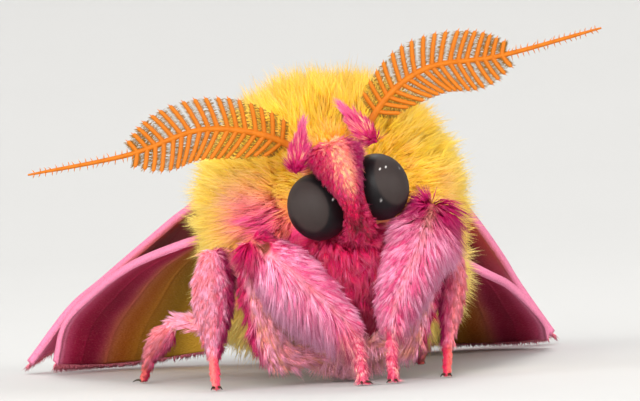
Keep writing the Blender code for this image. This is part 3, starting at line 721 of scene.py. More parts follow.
def flesh_forms():
    """Every form of flesh that the skin covers."""
    yield Ball("thorax", ["thorax"], THORAX_CENTRE, THORAX_RADII)
    for side in SIDES.values():
        yield Ball("thorax", ["thorax"], on_side(FLANK_CENTRE, side), FLANK_RADII)
    yield Ball("breast", ["thorax"], np.array(BREAST_CENTRE), BREAST_RADII)
    yield Ball("chest", ["chest"], np.array(CHEST_CENTRE), CHEST_RADII)
    yield Limb("abdomen", ["abdomen"], ABDOMEN_AXIS, ABDOMEN_RADII)
    yield from head_forms()
    yield from leg_forms()


FORMS = list(flesh_forms())


def fused(forms):
    """One smooth closed surface round all the forms: its points, triangles and normals."""
    points, faces, _ = gather([form.mesh() for form in forms])
    obj = bpy.data.objects.new("flesh", mesh_of("flesh", points, faces))
    bpy.context.scene.collection.objects.link(obj)
    remesh = obj.modifiers.new("fuse", "REMESH")
    remesh.mode = "VOXEL"
    remesh.voxel_size = SKIN_VOXEL
    relax = obj.modifiers.new("relax", "SMOOTH")
    relax.iterations = 3
    shape = obj.evaluated_get(bpy.context.evaluated_depsgraph_get()).to_mesh()
    shape.calc_loop_triangles()
    points = np.zeros(len(shape.vertices) * 3)
    shape.vertices.foreach_get("co", points)
    normals = np.zeros(len(shape.vertices) * 3)
    shape.vertices.foreach_get("normal", normals)
    faces = np.zeros(len(shape.loop_triangles) * 3, np.int32)
    shape.loop_triangles.foreach_get("vertices", faces)
    bpy.data.objects.remove(obj)
    return points.reshape(-1, 3), faces.reshape(-1, 3), normals.reshape(-1, 3)


def pair_of(form):
    """The pair of legs that a form belongs to: fore, mid or hind."""
    return form.nodes[0].split("leg")[0]


def owner_of(p):
    """The number of the form that each point belongs to."""
    return np.stack([form.depth(p) for form in FORMS]).argmin(0)


# Markings

# Centres and reaches of the rosy fur beside the face, of the horns' dark feet, in the head's own space, and of the
# bare knees
CHEEKS = (
    ((-2.3, -2.6, 4.7), (0.85, 2.2, 0.7)),
    ((-2.0, -2.6, 3.9), (0.9, 2.2, 0.6)),
    ((2.2, -2.6, 3.9), (0.9, 2.2, 0.7)),
    ((-1.2, -2.6, 4.2), (0.9, 2.2, 0.7)),
    ((1.4, -2.6, 4.1), (0.9, 2.2, 0.6)),
)
HORN_FEET = (((-1.1, -0.8, 1.35), (0.3, 0.6, 0.3)), ((0.95, -0.8, 1.16), (0.42, 0.6, 0.36)))
BARE_KNEES = (((-2.5, -5.0, 4.1), (0.2, 0.4, 0.24)), ((2.85, -4.9, 4.85), (0.1, 0.4, 0.18)))


def thorax_marks(form, p, chance):
    """Yellow, with rosy fur beside the face, a peach band, golden strands round the eyes and an orange streak."""
    front = soft(-p[:, 1], 0.2, 1.6)
    ring = from_face(p)
    halo = np.maximum(hump(ring, 2.1, 0.55) * front, soft(p[:, 2], 6.2, 8.2) * 0.7)
    cheek = spots(p, CHEEKS)
    band = np.maximum(spot(p, (-2.75, -2.6, 5.4), (0.55, 2.2, 0.7)),
                      0.55 * spot(p, (3.15, -2.4, 5.5), (0.3, 2.2, 0.5)))
    streak = spot(p, (2.85, -2.6, 5.75), (0.1, 2.2, 0.34))
    low = fade(p[:, 2], 2.2, 3.1) * fade(np.abs(p[:, 0]), 1.2, 2.0) * front
    return {
        "gold": halo * (0.1 + 0.75 * soft(chance, 0.25, 0.9)) + streak,
        "peach": band * (0.35 + 0.7 * chance) + low * 0.5,
        "rose": np.clip((cheek * 1.35 + low) * (0.6 + 0.5 * chance), 0, 1) * front,
        "crimson": cheek * 0.55 * soft(chance, 0.2, 1) + low * 0.3,
        "cream": np.clip(soft(chance, 0.55, 1) * 0.35 + soft(ring, 3.2, 4.4) * 0.4, 0, 1) * (1 - cheek),
        "lilac": cheek * soft(chance, 0.7, 1) * 0.4,
    }


def breast_marks(form, p, chance):
    """Curly peach and cream fluff between the hips."""
    return {
        "peach": 0.9 + 0.1 * chance,
        "rose": 0.2 * soft(chance, 0.2, 0.8),
        "cream": soft(1 - chance, 0.5, 1) * 0.55,
        "lilac": 0.3 + soft(chance, 0.2, 0.8) * 0.6,
    }


def skull_marks(form, p, chance):
    """A yellow crown, dark rose round the horns' feet, a pale patch by the right one and crimson cheeks."""
    q = in_head(p)
    low = fade(q[:, 2], 0.4, 0.9)
    feet = spots(q, HORN_FEET)
    patch = spot(q, (-1.14, -0.43, 1.2), (0.16, 0.4, 0.16))
    brow = soft(chance + 0.5 * fade(q[:, 2], 1.4, 1.9), 0.7, 1.1)
    return {
        "gold": (0.4 + 0.6 * soft(chance, 0.2, 0.8)) * (1 - low),
        "peach": brow * 0.5 * (1 - low),
        "rose": low + feet * 1.4,
        "crimson": low * 0.7 + feet,
        "violet": feet * 0.63 * (q[:, 0] > 0),
        "cream": (1 - low) * (1 - feet) * soft(1 - chance, 0.6, 1) * 0.35 + patch,
        "umber": spot(q, (0.45, -1.0, -0.35), (0.26, 0.8, 0.6)) * 0.9,
    }


def face_marks(form, p, chance):
    """Peach down the middle of a hot pink triangle, its far edge and its corners deep magenta, darker towards the
    bottom, with painted shade in the far low corner under the eye.
    """
    q = in_head(p)
    heights = (-0.7, -0.4, 0.5, 1.25)
    middle_line = np.interp(q[:, 2], heights, (-0.22, -0.2, -0.13, -0.1))
    half_width = np.interp(q[:, 2], heights, (0.16, 0.3, 0.66, 0.84))
    across = (q[:, 0] - middle_line) / half_width + (chance - 0.5) * 0.35
    middle = hump(across, 0.06, 0.36) * soft(q[:, 2] + (chance - 0.5) * 0.5, -0.1, 0.7)
    far = soft(across, 0.3, 0.65)
    near = soft(-across, 0.3, 0.75) * soft(q[:, 2], 0.1, 0.9)
    low = soft(-q[:, 2] + (chance - 0.5) * 0.4, -0.3, 0.6)
    return {
        "gold": soft(q[:, 2] + (chance - 0.5) * 0.3, 1.15, 1.45) * 0.8,
        "peach": middle * 0.9,
        "rose": 1 - middle * (0.55 + 0.45 * chance),
        "crimson": (0.4 + 0.45 * chance) * (1 - middle) + low * 0.75 + (far + near) * 0.5,
        "violet": np.clip(far * 0.85 + near * 0.25, 0, 1) * (1 - low * 0.8),
        "cream": middle * soft(chance, 0.45, 0.9) * 0.7,
        "lilac": soft(1 - chance, 0.8, 1) * 0.25 * (1 - far) * (1 - low),
        # Darker towards the bottom, and painted shade in the far low corner under the eye
        "umber": soft(-q[:, 2], 0.35, 0.8) * 0.65 + soft(across, 0.6, 1.1) * low * 0.85,
    }


def horn_marks(form, p, chance):
    """Magenta with pale streaks, darkest at the foot."""
    run = form.step(p) / LIMB_STEPS
    foot = fade(run, 0.05, 0.3)
    return {
        "rose": 1,
        "crimson": 0.4 + 0.5 * (1 - run) * chance + foot * 0.5,
        "violet": 0.2 + foot * 0.5,
        "cream": soft(chance, 0.72, 0.95) * 0.75 * (1 - foot) * fade(run, 0.5, 0.85),
        "lilac": soft(run + chance * 0.5, 0.9, 1.4) * 0.3,
    }


def chest_marks(form, p, chance):
    """Crimson strands with paler ones, and painted shade low down and between the chest and the left foreleg."""
    return {
        "rose": 1,
        "crimson": 0.65 + 0.35 * chance,
        "lilac": soft(1 - chance, 0.78, 1) * 0.4,
        # Painted shade on the lower chest and a painted shadow beside the left foreleg
        "umber": np.maximum(fade(p[:, 2], 2.0, 2.9) * 0.3, spot(p, (1.1, -4.3, 2.6), (0.5, 1.5, 0.7)) * 0.85),
    }


def palp_marks(form, p, chance):
    """Deep crimson."""
    return {"rose": 1, "crimson": 0.8 + 0.2 * chance, "umber": 0.3 + 0.3 * chance}


def abdomen_marks(form, p, chance):
    """Yellow above, rosy cream below."""
    _, way = form.nearest(p)
    under = soft(-way[:, 2], 0.1, 0.8)
    return {
        "gold": 0.15 + 0.2 * chance,
        "rose": under * 0.5,
        "cream": under * 0.5 + soft(chance, 0.6, 1) * 0.35,
    }


def thigh_marks(form, p, chance):
    """Peach and rose fluff, with deep crimson on the shaded outer side of the forelegs."""
    _, way = form.nearest(p)
    pair = pair_of(form)
    shade = soft(way[:, 0] * np.sign(form.path[-1, 0]), 0.55, 0.95) * (1.0 if pair == "fore" else 0.4)
    return {
        "peach": (0.75 - 0.3 * chance) * (0.4 if pair == "hind" else 1),
        "rose": 0.15 + 0.5 * chance + shade + (0.3 if pair == "hind" else 0),
        "crimson": shade * 0.7,
        "violet": shade * 0.25,
        "cream": soft(1 - chance, 0.6, 1) * 0.4 * (1 - shade),
        "lilac": (0.15 + soft(chance, 0.2, 0.8) * 0.75) * (1 - shade),
    }


def foreshin_marks(form, p, chance):
    """Pale rose and lilac, magenta round the knee, a pale parting down the middle, a red and cream foot, and paler
    underneath as painted light.
    """
    k, way = form.nearest(p)
    run = k / LIMB_STEPS
    left = form.path[0, 0] > 0
    aside = (way * np.cross(form.ahead[k], (0, 1.0, 0))).sum(1)
    line = hump(aside + (chance - 0.5) * 0.3, 0, 0.2) * soft(-way[:, 1], 0, 0.5)
    knee = fade(run + (chance - 0.5) * 0.08, 0.05, 0.2 if left else 0.12)
    foot = soft(run, 0.66, 0.76)
    under = soft(-way[:, 2], -0.2, 0.6)
    # Painted light: more lilac on the underside, lifting the shade that falls there
    pale = (0.08 + 0.8 * soft(chance, 0.25, 0.9) + 0.25 * line + 0.4 * under) * (1 - knee)
    return {
        "peach": foot * 0.5,
        "rose": 1 - foot * 0.4 * chance,
        "crimson": 0.12 + knee * 0.75 + foot * 0.8 * soft(1 - chance, 0.2, 0.7),
        "violet": knee * (0.7 if left else 0.3),
        "cream": foot * soft(chance, 0.7, 1) * 0.8 + line * 0.25 * (1 - foot),
        "lilac": np.clip(pale, 0, 1) * (1 - foot * 0.6),
    }


def shin_marks(form, p, chance):
    """Salmon on the outer side, magenta inside with a violet line, orange on the foot."""
    k, way = form.nearest(p)
    inward = -way[:, 0] * np.sign(form.path[0, 0])
    inner = soft(inward + (chance - 0.5) * 0.5, -0.35, 0.45)
    line = soft(inward, 0.55, 0.85)
    foot = soft(k / LIMB_STEPS, 0.66, 0.78)
    right = form.nodes[0] == "midleg_right_shin"
    return {
        "gold": foot * 0.3,
        "peach": (1 - inner) * (0.35 if right else 0.05) + foot * 0.2,
        "rose": (0.7 + 0.3 * inner) * (1 - foot * 0.2),
        "crimson": inner * (0.25 + 0.3 * chance) + (0 if right else 0.3) + foot * 0.15,
        "violet": line * 0.7 * (1 - foot),
        "lilac": (0.12 + (0.8 if right else 0.3) * soft(chance, 0.25, 0.8)) * (1 - foot) * (1 - line),
    }


MARKS = {
    "thorax": thorax_marks, "breast": breast_marks, "skull": skull_marks, "face": face_marks, "palp": palp_marks,
    "horn": horn_marks, "chest": chest_marks, "abdomen": abdomen_marks, "thigh": thigh_marks,
    "foreshin": foreshin_marks, "shin": shin_marks,
}


def markings(owner, p, chance):
    """The share of every tone at each point, with a dark painted shade on the head's fur close to the eyes."""
    marks = {tone: np.zeros(len(p)) for tone in FUR_TONES}
    head = np.zeros(len(p), bool)
    for number, form in enumerate(FORMS):
        mine = owner == number
        if mine.any():
            head |= mine & (form.nodes == ["head"])
            for tone, share in MARKS[form.kind](form, p[mine], chance[mine]).items():
                marks[tone][mine] = np.clip(share, 0, 1)
    # Painted shade where the head's fur meets the eyes
    marks["umber"] = np.maximum(marks["umber"], 0.8 * fade(eye_room(p), 0.03, 0.13) * head)
    return marks


def bareness(p):
    """Bare chitin at the forelegs' knees."""
    return soft(spots(p, BARE_KNEES), 0.2, 0.55)


# Grooming: for each kind of form, the way its hairs lie, the factors of their length and stand, and their droop

def lay_thorax(form, root):
    """Spreading from the neck over the front, then back and down."""
    x, z = root[:, 0], root[:, 2]
    behind = soft(root[:, 1], -1.0, 1.6)
    swirl = vectors(np.sin(1.9 * z + 0.7 * x), np.sin(2.3 * x + 1), np.cos(2.1 * x - 1.2 * z))
    swirl += 0.7 * vectors(np.sin(5.1 * z - 2.7 * x), np.sin(6.3 * x + 2 * z), np.cos(5.7 * x + 3.9 * z))
    sag = vectors(0, 0, -0.9 * fade(z, 3.6, 5.2))
    lie = unit(blend(behind, unit(root - NECK) + sag, np.array((0, 0.95, -0.3))) + 0.22 * swirl)
    near = soft(from_face(root), 1.2, 2.6)
    longer = (0.4 + 0.6 * near) * (1 - 0.3 * behind) * (1 + 0.12 * soft(z, 6.5, 8.0))
    taller = 1 + 0.35 * soft(z, 6.0, 7.6) * (1 - behind) - 0.4 * behind
    return lie, longer, taller, 0


def lay_breast(form, root):
    """Curly and hanging."""
    return vectors(0.3 * root[:, 0], -0.3, -1), 1, 1, 0.1


def lay_skull(form, root):
    """A curly crest on the crown, a small tuft over the left eye and combed down on the cheeks."""
    q = in_head(root)
    crown = soft(q[:, 2], 0.95, 1.35)
    lie = blend(crown, np.array((0, 0.1, -1.0)), unit(vectors(q[:, 0] * 0.6, -0.35, 0.6)))
    room = eye_room(root)
    eye = np.where(root[:, :1] > HEAD_CENTRE[0], EYES["left"], EYES["right"])
    lie = blend(fade(room, 0.1, 0.5), lie, unit(root - eye))
    tuft = spot(q, (0.9, -0.75, 1.08), (0.24, 0.4, 0.2))
    longer = blend(crown, 0.8, 1.0) * (0.35 + 0.65 * soft(room, 0, 0.6)) * (1 + 1.1 * tuft)
    return lie, longer, blend(crown, 0.6, 1.25), 0


def lay_face(form, root):
    """Down the face, spreading a little from the middle, shortest beside the eyes."""
    q = in_head(root)
    lie = vectors(q[:, 0] * 0.5, -0.15, -1) @ HEAD_AXES.T
    longer = (0.7 + 0.4 * soft(eye_room(root), 0, 0.4)) * (0.7 + 0.3 * soft(q[:, 2], -0.3, 0.4))
    return lie, longer, 0.7 + 0.6 * soft(q[:, 2], 0.2, 1.3), 0


def lay_along(form, root):
    """Along the limb towards its far end."""
    return form.ahead[form.step(root)], 1, 1, 0


def lay_chest(form, root):
    """Down and together into a V."""
    lie = vectors(-0.45 * (root[:, 0] - 0.05), -0.3, -1)
    return lie, 0.8 + 0.3 * soft(root[:, 2], 2.4, 3.8), 1, 0.1


def lay_thigh(form, root):
    """Towards the hip, longest on the forelegs, and towards the knee on the hindlegs."""
    fore, hind = (pair_of(form) == pair for pair in ("fore", "hind"))
    lie = form.ahead[form.step(root)] * (1 if hind else -1)
    return lie, 1.15 if fore else 0.75, 1, 0.15 if fore else 0


def lay_foreshin(form, root):
    """Parted along the middle and lying down from the knee, long and hanging under the right one."""
    k, way = form.nearest(root)
    run = k / LIMB_STEPS
    right = form.path[0, 0] < 0
    aside = np.cross(form.ahead[k], (0, 1.0, 0))
    aside = aside * (way * aside).sum(1)[:, None]
    low = soft(-way[:, 2], -0.35, 0.15) if right else soft(way[:, 0], 0.0, 0.6)
    hang = np.array((0.05, -0.15, -1.0)) if right else np.array((0.25, -0.1, -1.0))
    foot = soft(run, 0.64, 0.74)
    knee = fade(run, 0.06, 0.2)
    lie = blend(low * (1 - foot), form.ahead[k] + aside * 0.7, hang)
    lie = blend(knee * (0.2 if right else 0.4), lie, np.array((0.25, -0.4, 0.5)))
    longer = (0.75 + (1.15 if right else 0.55) * low) * (1 - 0.66 * foot)
    longer *= 1 + (-0.25 if right else 0.35) * knee
    taller = 1 + 0.35 * low * (1 - foot) + (0 if right else 0.9) * knee
    return lie, longer, taller, 0.25 * low * (1 - foot)


def lay_shin(form, root):
    """Along the shin, very short on the foot."""
    k = form.step(root)
    return form.ahead[k], 1 - 0.62 * soft(k / LIMB_STEPS, 0.62, 0.74), 1, 0


LAYS = {
    "thorax": lay_thorax, "breast": lay_breast, "skull": lay_skull, "face": lay_face, "palp": lay_along,
    "horn": lay_along, "chest": lay_chest, "abdomen": lay_along, "thigh": lay_thigh,
    "foreshin": lay_foreshin, "shin": lay_shin,
}


# Coats

def density(form, p):
    """Hairs to the square millimetre at each point, none where the fur can't be seen or skin is bare."""
    dense = np.full(len(p), float(COATS[form.kind][0]))
    if form.kind == "thorax":
        hidden = soft(-p[:, 1], 1.6, 2.6) * (1 - soft(np.hypot(p[:, 0], p[:, 2] - 4.6), 1.2, 2.0))
        dense *= ((0.57 + 0.57 * soft(-p[:, 1], -1.5, 0.8)) * (1 - hidden)
                  * (0.5 + 0.5 * soft(p[:, 2], 1.4, 2.6)))
    if form.kind in ("shin", "foreshin"):
        dense *= 1 + 0.3 * soft(form.step(p) / LIMB_STEPS, 0.6, 0.75)
    if form.kind == "thigh" and pair_of(form) != "fore":
        dense *= 0.5
    if form.kind in ("skull", "face", "thorax"):
        dense *= soft(eye_room(p), 0.0, 0.12)
    return dense * (1 - bareness(p))


def scatter(points, faces, normals, owner):
    """Random roots on the skin: places, normals and owners."""
    corners = points[faces]
    middle = corners.mean(1)
    area = np.linalg.norm(np.cross(corners[:, 1] - corners[:, 0], corners[:, 2] - corners[:, 0]), axis=1) / 2
    wanted = np.zeros(len(faces))
    for number, form in enumerate(FORMS):
        mine = owner == number
        wanted[mine] = area[mine] * density(form, middle[mine])
    chosen = np.repeat(np.arange(len(faces)), DRAW.poisson(wanted))
    a, b = DRAW.random((2, len(chosen)))
    over = a + b > 1
    a[over], b[over] = 1 - a[over], 1 - b[over]
    weights = np.stack((1 - a - b, a, b), 1)[:, :, None]
    roots = (corners[chosen] * weights).sum(1)
    return roots, unit((normals[faces[chosen]] * weights).sum(1)), owner[chosen]


def clumps_of(root, owner):
    """For each hair, the number of the nearest clump leader among its own form's hairs."""
    leader = np.zeros(len(root), int)
    for number in np.unique(owner):
        mine = np.flatnonzero(owner == number)
        heads = mine[::CLUMP_SIZE]
        tree = kdtree.KDTree(len(heads))
        for i, head in enumerate(heads):
            tree.insert(root[head], i)
        tree.balance()
        leader[mine] = [heads[tree.find(root[i])[1]] for i in mine]
    return leader


def combed(root, owner):
    """The rules of every hair: the way it lies, its length, stand, half width, clumping, droop and tousling."""
    lie, rules = np.zeros((len(root), 3)), np.zeros((6, len(root)))
    for number, form in enumerate(FORMS):
        mine = owner == number
        if mine.any():
            _, size, upright, wide, clump, stray = COATS[form.kind]
            lie[mine], longer, taller, hang = LAYS[form.kind](form, root[mine])
            values = (size * longer, np.clip(upright * taller, 0, 0.95), wide, clump, hang, stray)
            for rule, value in zip(rules, values):
                rule[mine] = value
    return lie, *rules


def groom(root, normal, owner):
    """Bends every hair over its root and gathers it to its clump: the arrays of the coat."""
    count = len(root)
    lie, length, stand, half, cling, droop, tousle = combed(root, owner)
    lie = unit(lie - normal * (lie * normal).sum(1)[:, None])
    leader = clumps_of(root, owner)
    drift = DRAW.normal(0, 1, (count, 3)) * tousle[:, None]
    chance = DRAW.random(count)
    strand = 0.65 * chance[leader] + 0.35 * chance
    length *= DRAW.uniform(0.72, 1.12, count) * (0.9 + 0.2 * chance[leader])
    # Each half of a hair leans its own way, and hairs of one clump lean alike
    rise = unit(blend(stand, lie, normal) + 0.6 * drift[leader] + 0.3 * drift)
    fall = unit(blend(stand * 0.5, lie, normal) + droop[:, None] * np.array((0, 0, -1.5)) + 1.2 * drift[leader])
    bend = root + rise * length[:, None] * 0.5
    tip = bend + (fall + 0.7 * drift) * length[:, None] * 0.5
    # The tips of a clump draw together, the bends a little
    cling *= 0.6 + 0.5 * DRAW.random(count)
    apart = root - root[leader]
    tip = blend(cling, tip, tip[leader] + 0.25 * apart)
    bend = blend(cling * 0.3, bend, bend[leader] + 0.6 * apart)
    bend, tip = clear_of_eyes(bend), clear_of_eyes(tip)
    bend[:, 2] = np.maximum(bend[:, 2], LOWEST_BEND)
    tip[:, 2] = np.maximum(tip[:, 2], LOWEST_TIP)
    half *= DRAW.uniform(0.75, 1.25, count)
    return {"root": root - normal * ROOT_DEPTH, "bend": bend, "tip": tip, "half": half, "owner": owner,
            "chance": chance, "strand": strand}


def hair_mesh(coat):
    """Hairs as bent spindles, a point at each end of a ring of three: points, faces and the share along each."""
    root, bend, tip = coat["root"], coat["bend"], coat["tip"]
    count, t = len(root), HAIR_RING
    here = root * (1 - t) ** 2 + bend * 2 * t * (1 - t) + tip * t * t
    ahead = unit((bend - root) * (1 - t) + (tip - bend) * t)
    across = unit(np.cross(ahead, np.array((0.31, 0.2, 0.93))))
    up = np.cross(ahead, across)
    turns = (2 * math.pi * k / 3 for k in range(3))
    ring = [here + (across * math.cos(turn) + up * math.sin(turn)) * coat["half"][:, None] for turn in turns]
    points = np.stack((root, *ring, tip), 1)
    one = np.array(((0, 2, 1), (0, 3, 2), (0, 1, 3), (1, 2, 4), (2, 3, 4), (3, 1, 4)))
    faces = (one[None] + HAIR_POINTS * np.arange(count)[:, None, None]).reshape(-1, 3)
    along = np.tile((0.0, t, t, t, 1.0), count)
    return points.reshape(-1, 3), faces, along


def patches_of(corner, along):
    """The place of every hair point on its piece's unwrap: a small patch at the root's place."""
    across = np.tile((0.5, 0.0, 0.5, 1.0, 0.5), len(corner))
    return np.repeat(corner, HAIR_POINTS, 0) + PATCH * np.stack((across, along), 1)


def cell_of(number, count, place):
    """A form's own cell of the unwrap that the forms of a piece share."""
    wide = math.ceil(math.sqrt(count))
    high = math.ceil(count / wide)
    corner = np.array((number % wide, number // wide))
    return (corner + 0.02 + 0.96 * place) / np.array((wide, high)) * (1 - PATCH)


def hair_pieces(name, coat, marks, unwrap, finish, slot, nodes):
    """Builds a coat as one or more pieces, each below the limit of faces."""
    count = len(coat["root"])
    pieces = max(1, math.ceil(count / HAIRS_PER_PIECE))
    for number, rows in enumerate(np.array_split(np.arange(count), pieces)):
        part = {key: value[rows] for key, value in coat.items()}
        points, faces, along = hair_mesh(part)
        own = {tone: np.repeat(share[rows], HAIR_POINTS) for tone, share in marks.items()}
        own |= {"along": along, "chance": np.repeat(part["chance"], HAIR_POINTS)}
        title = name if pieces == 1 else f"{name}_{number + 1}"
        make_piece(title, points, faces, finish, slot, nodes, own, patches_of(unwrap[rows], along))


def leg_nodes(pair):
    """The solids of a pair of legs."""
    return tuple(f"{pair}_{side}_{part}" for side in SIDES for part in ("thigh", "shin"))


# Each coat's solids and their material slot
GROUPS = {
    "coat_thorax": (("thorax",), "yellow_wool"),
    "coat_abdomen": (("abdomen",), "yellow_wool"),
    "coat_head": (("head",), "pink_hair"),
    "coat_horns": (("tuft_right", "tuft_left"), "pink_hair"),
    "coat_chest": (("chest",), "pink_hair"),
    "coat_forelegs": (leg_nodes("foreleg"), "pink_hair"),
    "coat_midlegs": (leg_nodes("midleg"), "pink_hair"),
    "coat_hindlegs": (leg_nodes("hindleg"), "pink_hair"),
}


# Body and eyes

def make_body():
    """The skin and all the coats that grow on it."""
    points, faces, normals = fused(FORMS)
    owner = owner_of(points)
    marks = markings(owner, points, np.full(len(points), 0.5)) | {"bare": bareness(points)}
    nodes = sorted({node for form in FORMS for node in form.nodes})
    make_piece("skin", points, faces, skin_finish(), "yellow_wool", nodes, marks)
    coat = groom(*scatter(points, faces, normals, owner_of(points[faces].mean(1))))
    finish = coat_finish()
    tones = markings(coat["owner"], (coat["root"] + coat["bend"] * 2 + coat["tip"]) / 4, coat["strand"])
    for name, (nodes, slot) in GROUPS.items():
        numbers = [i for i, form in enumerate(FORMS) if form.nodes[0] in nodes]
        mine = np.flatnonzero(np.isin(coat["owner"], numbers))
        unwrap = np.zeros((len(mine), 2))
        for cell, number in enumerate(numbers):
            rows = coat["owner"][mine] == number
            place = FORMS[number].unwrap(coat["root"][mine[rows]])
            unwrap[rows] = cell_of(cell, len(numbers), place)
        part = {key: value[mine] for key, value in coat.items()}
        hair_pieces(name, part, {k: v[mine] for k, v in tones.items()}, unwrap, finish, slot, nodes)


def make_eyes():
    """Two oval compound eyes, with a painted sheen on the outer side and a few pale specks."""
    finish = eye_finish()
    for name, side in SIDES.items():
        points, faces, shell = ball_mesh(EYES[name], EYE_RADII, HEAD_AXES, sides=96, rings=64)
        # A painted sheen: an oval mask on each eye's outer front side
        reach = 0.6 if name == "right" else 0.68
        away = np.hypot((shell[:, 0] * side - 0.4) / reach, (shell[:, 2] - 0.14) / 0.84)
        painted_sheen = (1 - soft(away, 0.86, 1.0)) * (shell[:, 1] < 0.2)
        from_specks = [np.linalg.norm(shell - unit(np.array(speck)), axis=1) for speck in EYE_SPECKS[name]]
        marks = {"painted_sheen": painted_sheen, "speck": soft(0.04 - np.min(from_specks, axis=0), 0, 0.03)}
        make_piece("compound_eye_" + name, points, faces, finish, "eye_surface", ["eye_" + name], marks)


# Antennae

def ray_path(here, ahead, out, size, sweep):
    """A ray that leaves the shaft squarely and curves towards the antenna's tip."""
    t = np.linspace(0, 1, 7)[:, None]
    return here + (out * t + ahead * sweep * (0.7 * t + 0.3 * t ** 2)) * size


def comb(line):
    """The rays of one antenna, each with the way along the shaft at its foot."""
    rays = []
    for k in range(RAYS_PER_SIDE):
        share = (k + 0.5) / RAYS_PER_SIDE
        at = round(SHAFT_STEPS * (COMB_START + (COMB_END - COMB_START) * share))
        ahead = unit(line[at + 1] - line[at - 1])
        # The rays are shorter near the head and near the bare tip
        size = RAY_LENGTH * (1 - 2.1 * max(0, 0.33 - share) ** 1.5 - 4.8 * max(0, share - 0.62) ** 2)
        across = unit(np.cross(ahead, np.array((0, 1.0, 0))))
        for side in (-1, 1):
            sweep = 0.4 if across[2] * side > 0 else 0.5
            out = unit(across * side + np.array((0, -0.12, 0)))
            rays.append((ray_path(line[at], ahead, out, size, sweep), ahead))
    return rays


def ray_mesh(path):
    """A flattened ray with a rounded tip."""
    half = np.array((0.075, 0.064, 0.06, 0.06, 0.06, 0.058, 0.054))
    points, faces, along = tube(*rounded(path, half, half * 1.15), np.array((0, 1.0, 0)), sides=8)
    return points, faces, {"along": along * 0.9, "pale": along * 0.35}


def fine_hairs(root, way, length, half, chance):
    """Arrays of short single hairs that need no grooming, like those of a coat."""
    sag = DRAW.normal(0, 0.08, root.shape) * length[:, None]
    return {"root": root, "bend": root + way * length[:, None] * 0.5 + sag, "tip": root + way * length[:, None],
            "half": half, "chance": chance}


def cilia(rays, line):
    """Fine dark hairs between the rays, a bristle at each ray's end and spines on the bare tip."""
    rows = []
    t = np.linspace(0.08, 0.98, HAIRS_PER_RAY_SIDE)
    for path, ahead in rays:
        at = np.stack([np.interp(t, np.linspace(0, 1, len(path)), path[:, k]) for k in range(3)], 1)
        for side in (-1, 1):
            way = ahead * side + unit(path[-1] - path[0]) * 0.35 + DRAW.normal(0, 0.15, at.shape)
            rows.append((at, way, np.full(len(at), 0.18), np.ones(len(at))))
        rows.append((path[-1:], unit(path[-1:] - path[-2:-1]) + ahead * 0.2, np.array((0.14,)), np.zeros(1)))
    at = line[int(SHAFT_STEPS * COMB_END):SHAFT_STEPS - 2:4]
    for up in (1, -1):
        way = np.array((0, -0.2, up)) + DRAW.normal(0, 0.25, at.shape) + (line[-1] - line[-9])
        rows.append((at, way, np.linspace(0.24, 0.15, len(at)), np.zeros(len(at))))
    root, way, length, dark = (np.concatenate(column) for column in zip(*rows))
    half = np.where(dark > 0, 0.011, 0.021)
    return fine_hairs(root, unit(way), length, half, DRAW.random(len(root))) | {"dark": dark}


def make_antennae():
    """Comb antennae: a ringed shaft, two rows of rays and their fine hairs."""
    finish = comb_finish()
    for name, points in ANTENNAE.items():
        line = smooth_path(points, SHAFT_STEPS + 1)
        coarse = line[::5]
        run = np.linspace(0, 1, len(coarse))
        half = np.interp(run, (0, 0.1, COMB_END, 0.9, 1), (0.13, 0.11, 0.075, 0.055, 0.03))
        points, faces, along = tube(*rounded(coarse, half, half), np.array((0, 0, 1.0)), sides=10)
        rays = comb(line)
        parts = [(points, faces, {"along": along * 0.4, "pale": 0.15 + 0.15 * np.sin(along * 190)})]
        parts += [ray_mesh(path) for path, _ in rays]
        hairs = cilia(rays, line)
        dark = np.repeat(hairs["dark"], HAIR_POINTS)
        points, faces, _ = hair_mesh(hairs)
        parts.append((points, faces, {"along": dark, "pale": 1 - dark}))
        points, faces, marks = gather(parts)
        make_piece("comb_antenna_" + name, points, faces, finish, "orange_comb", ["antenna_" + name], marks)


# Wings

def wing_surface(shape, a, b):
    """Points of the middle surface at a, from root to outer edge, and b, from front to inner edge."""
    t = np.linspace(0, 1, WING_EDGE_POINTS)
    front, back = (np.stack([np.interp(a, t, curve[:, k]) for k in range(3)], -1) for curve in shape["curves"])
    (c0, c1), (i0, i1) = ((curve[0], curve[-1]) for curve in shape["curves"])
    out = unit(c1 + i1 - c0 - i0)
    up = unit(np.cross(c1 - c0, i1 - c0))
    belly = np.sin(math.pi * b)[..., None]
    a, b = a[..., None], b[..., None]
    return front * (1 - b) + back * b + out * shape["bulge"] * belly * a ** 3 + up * shape["camber"] * belly * a


def wing_normals(shape, a, b, step=0.004):
    """Upward normals of the middle surface."""
    along = wing_surface(shape, np.minimum(a + step, 1), b) - wing_surface(shape, np.maximum(a - step, 0), b)
    across = wing_surface(shape, a, np.minimum(b + step, 1)) - wing_surface(shape, a, np.maximum(b - step, 0))
    up = unit(np.cross(along, across))
    return up * np.where(up[..., 2:] > 0, 1, -1)


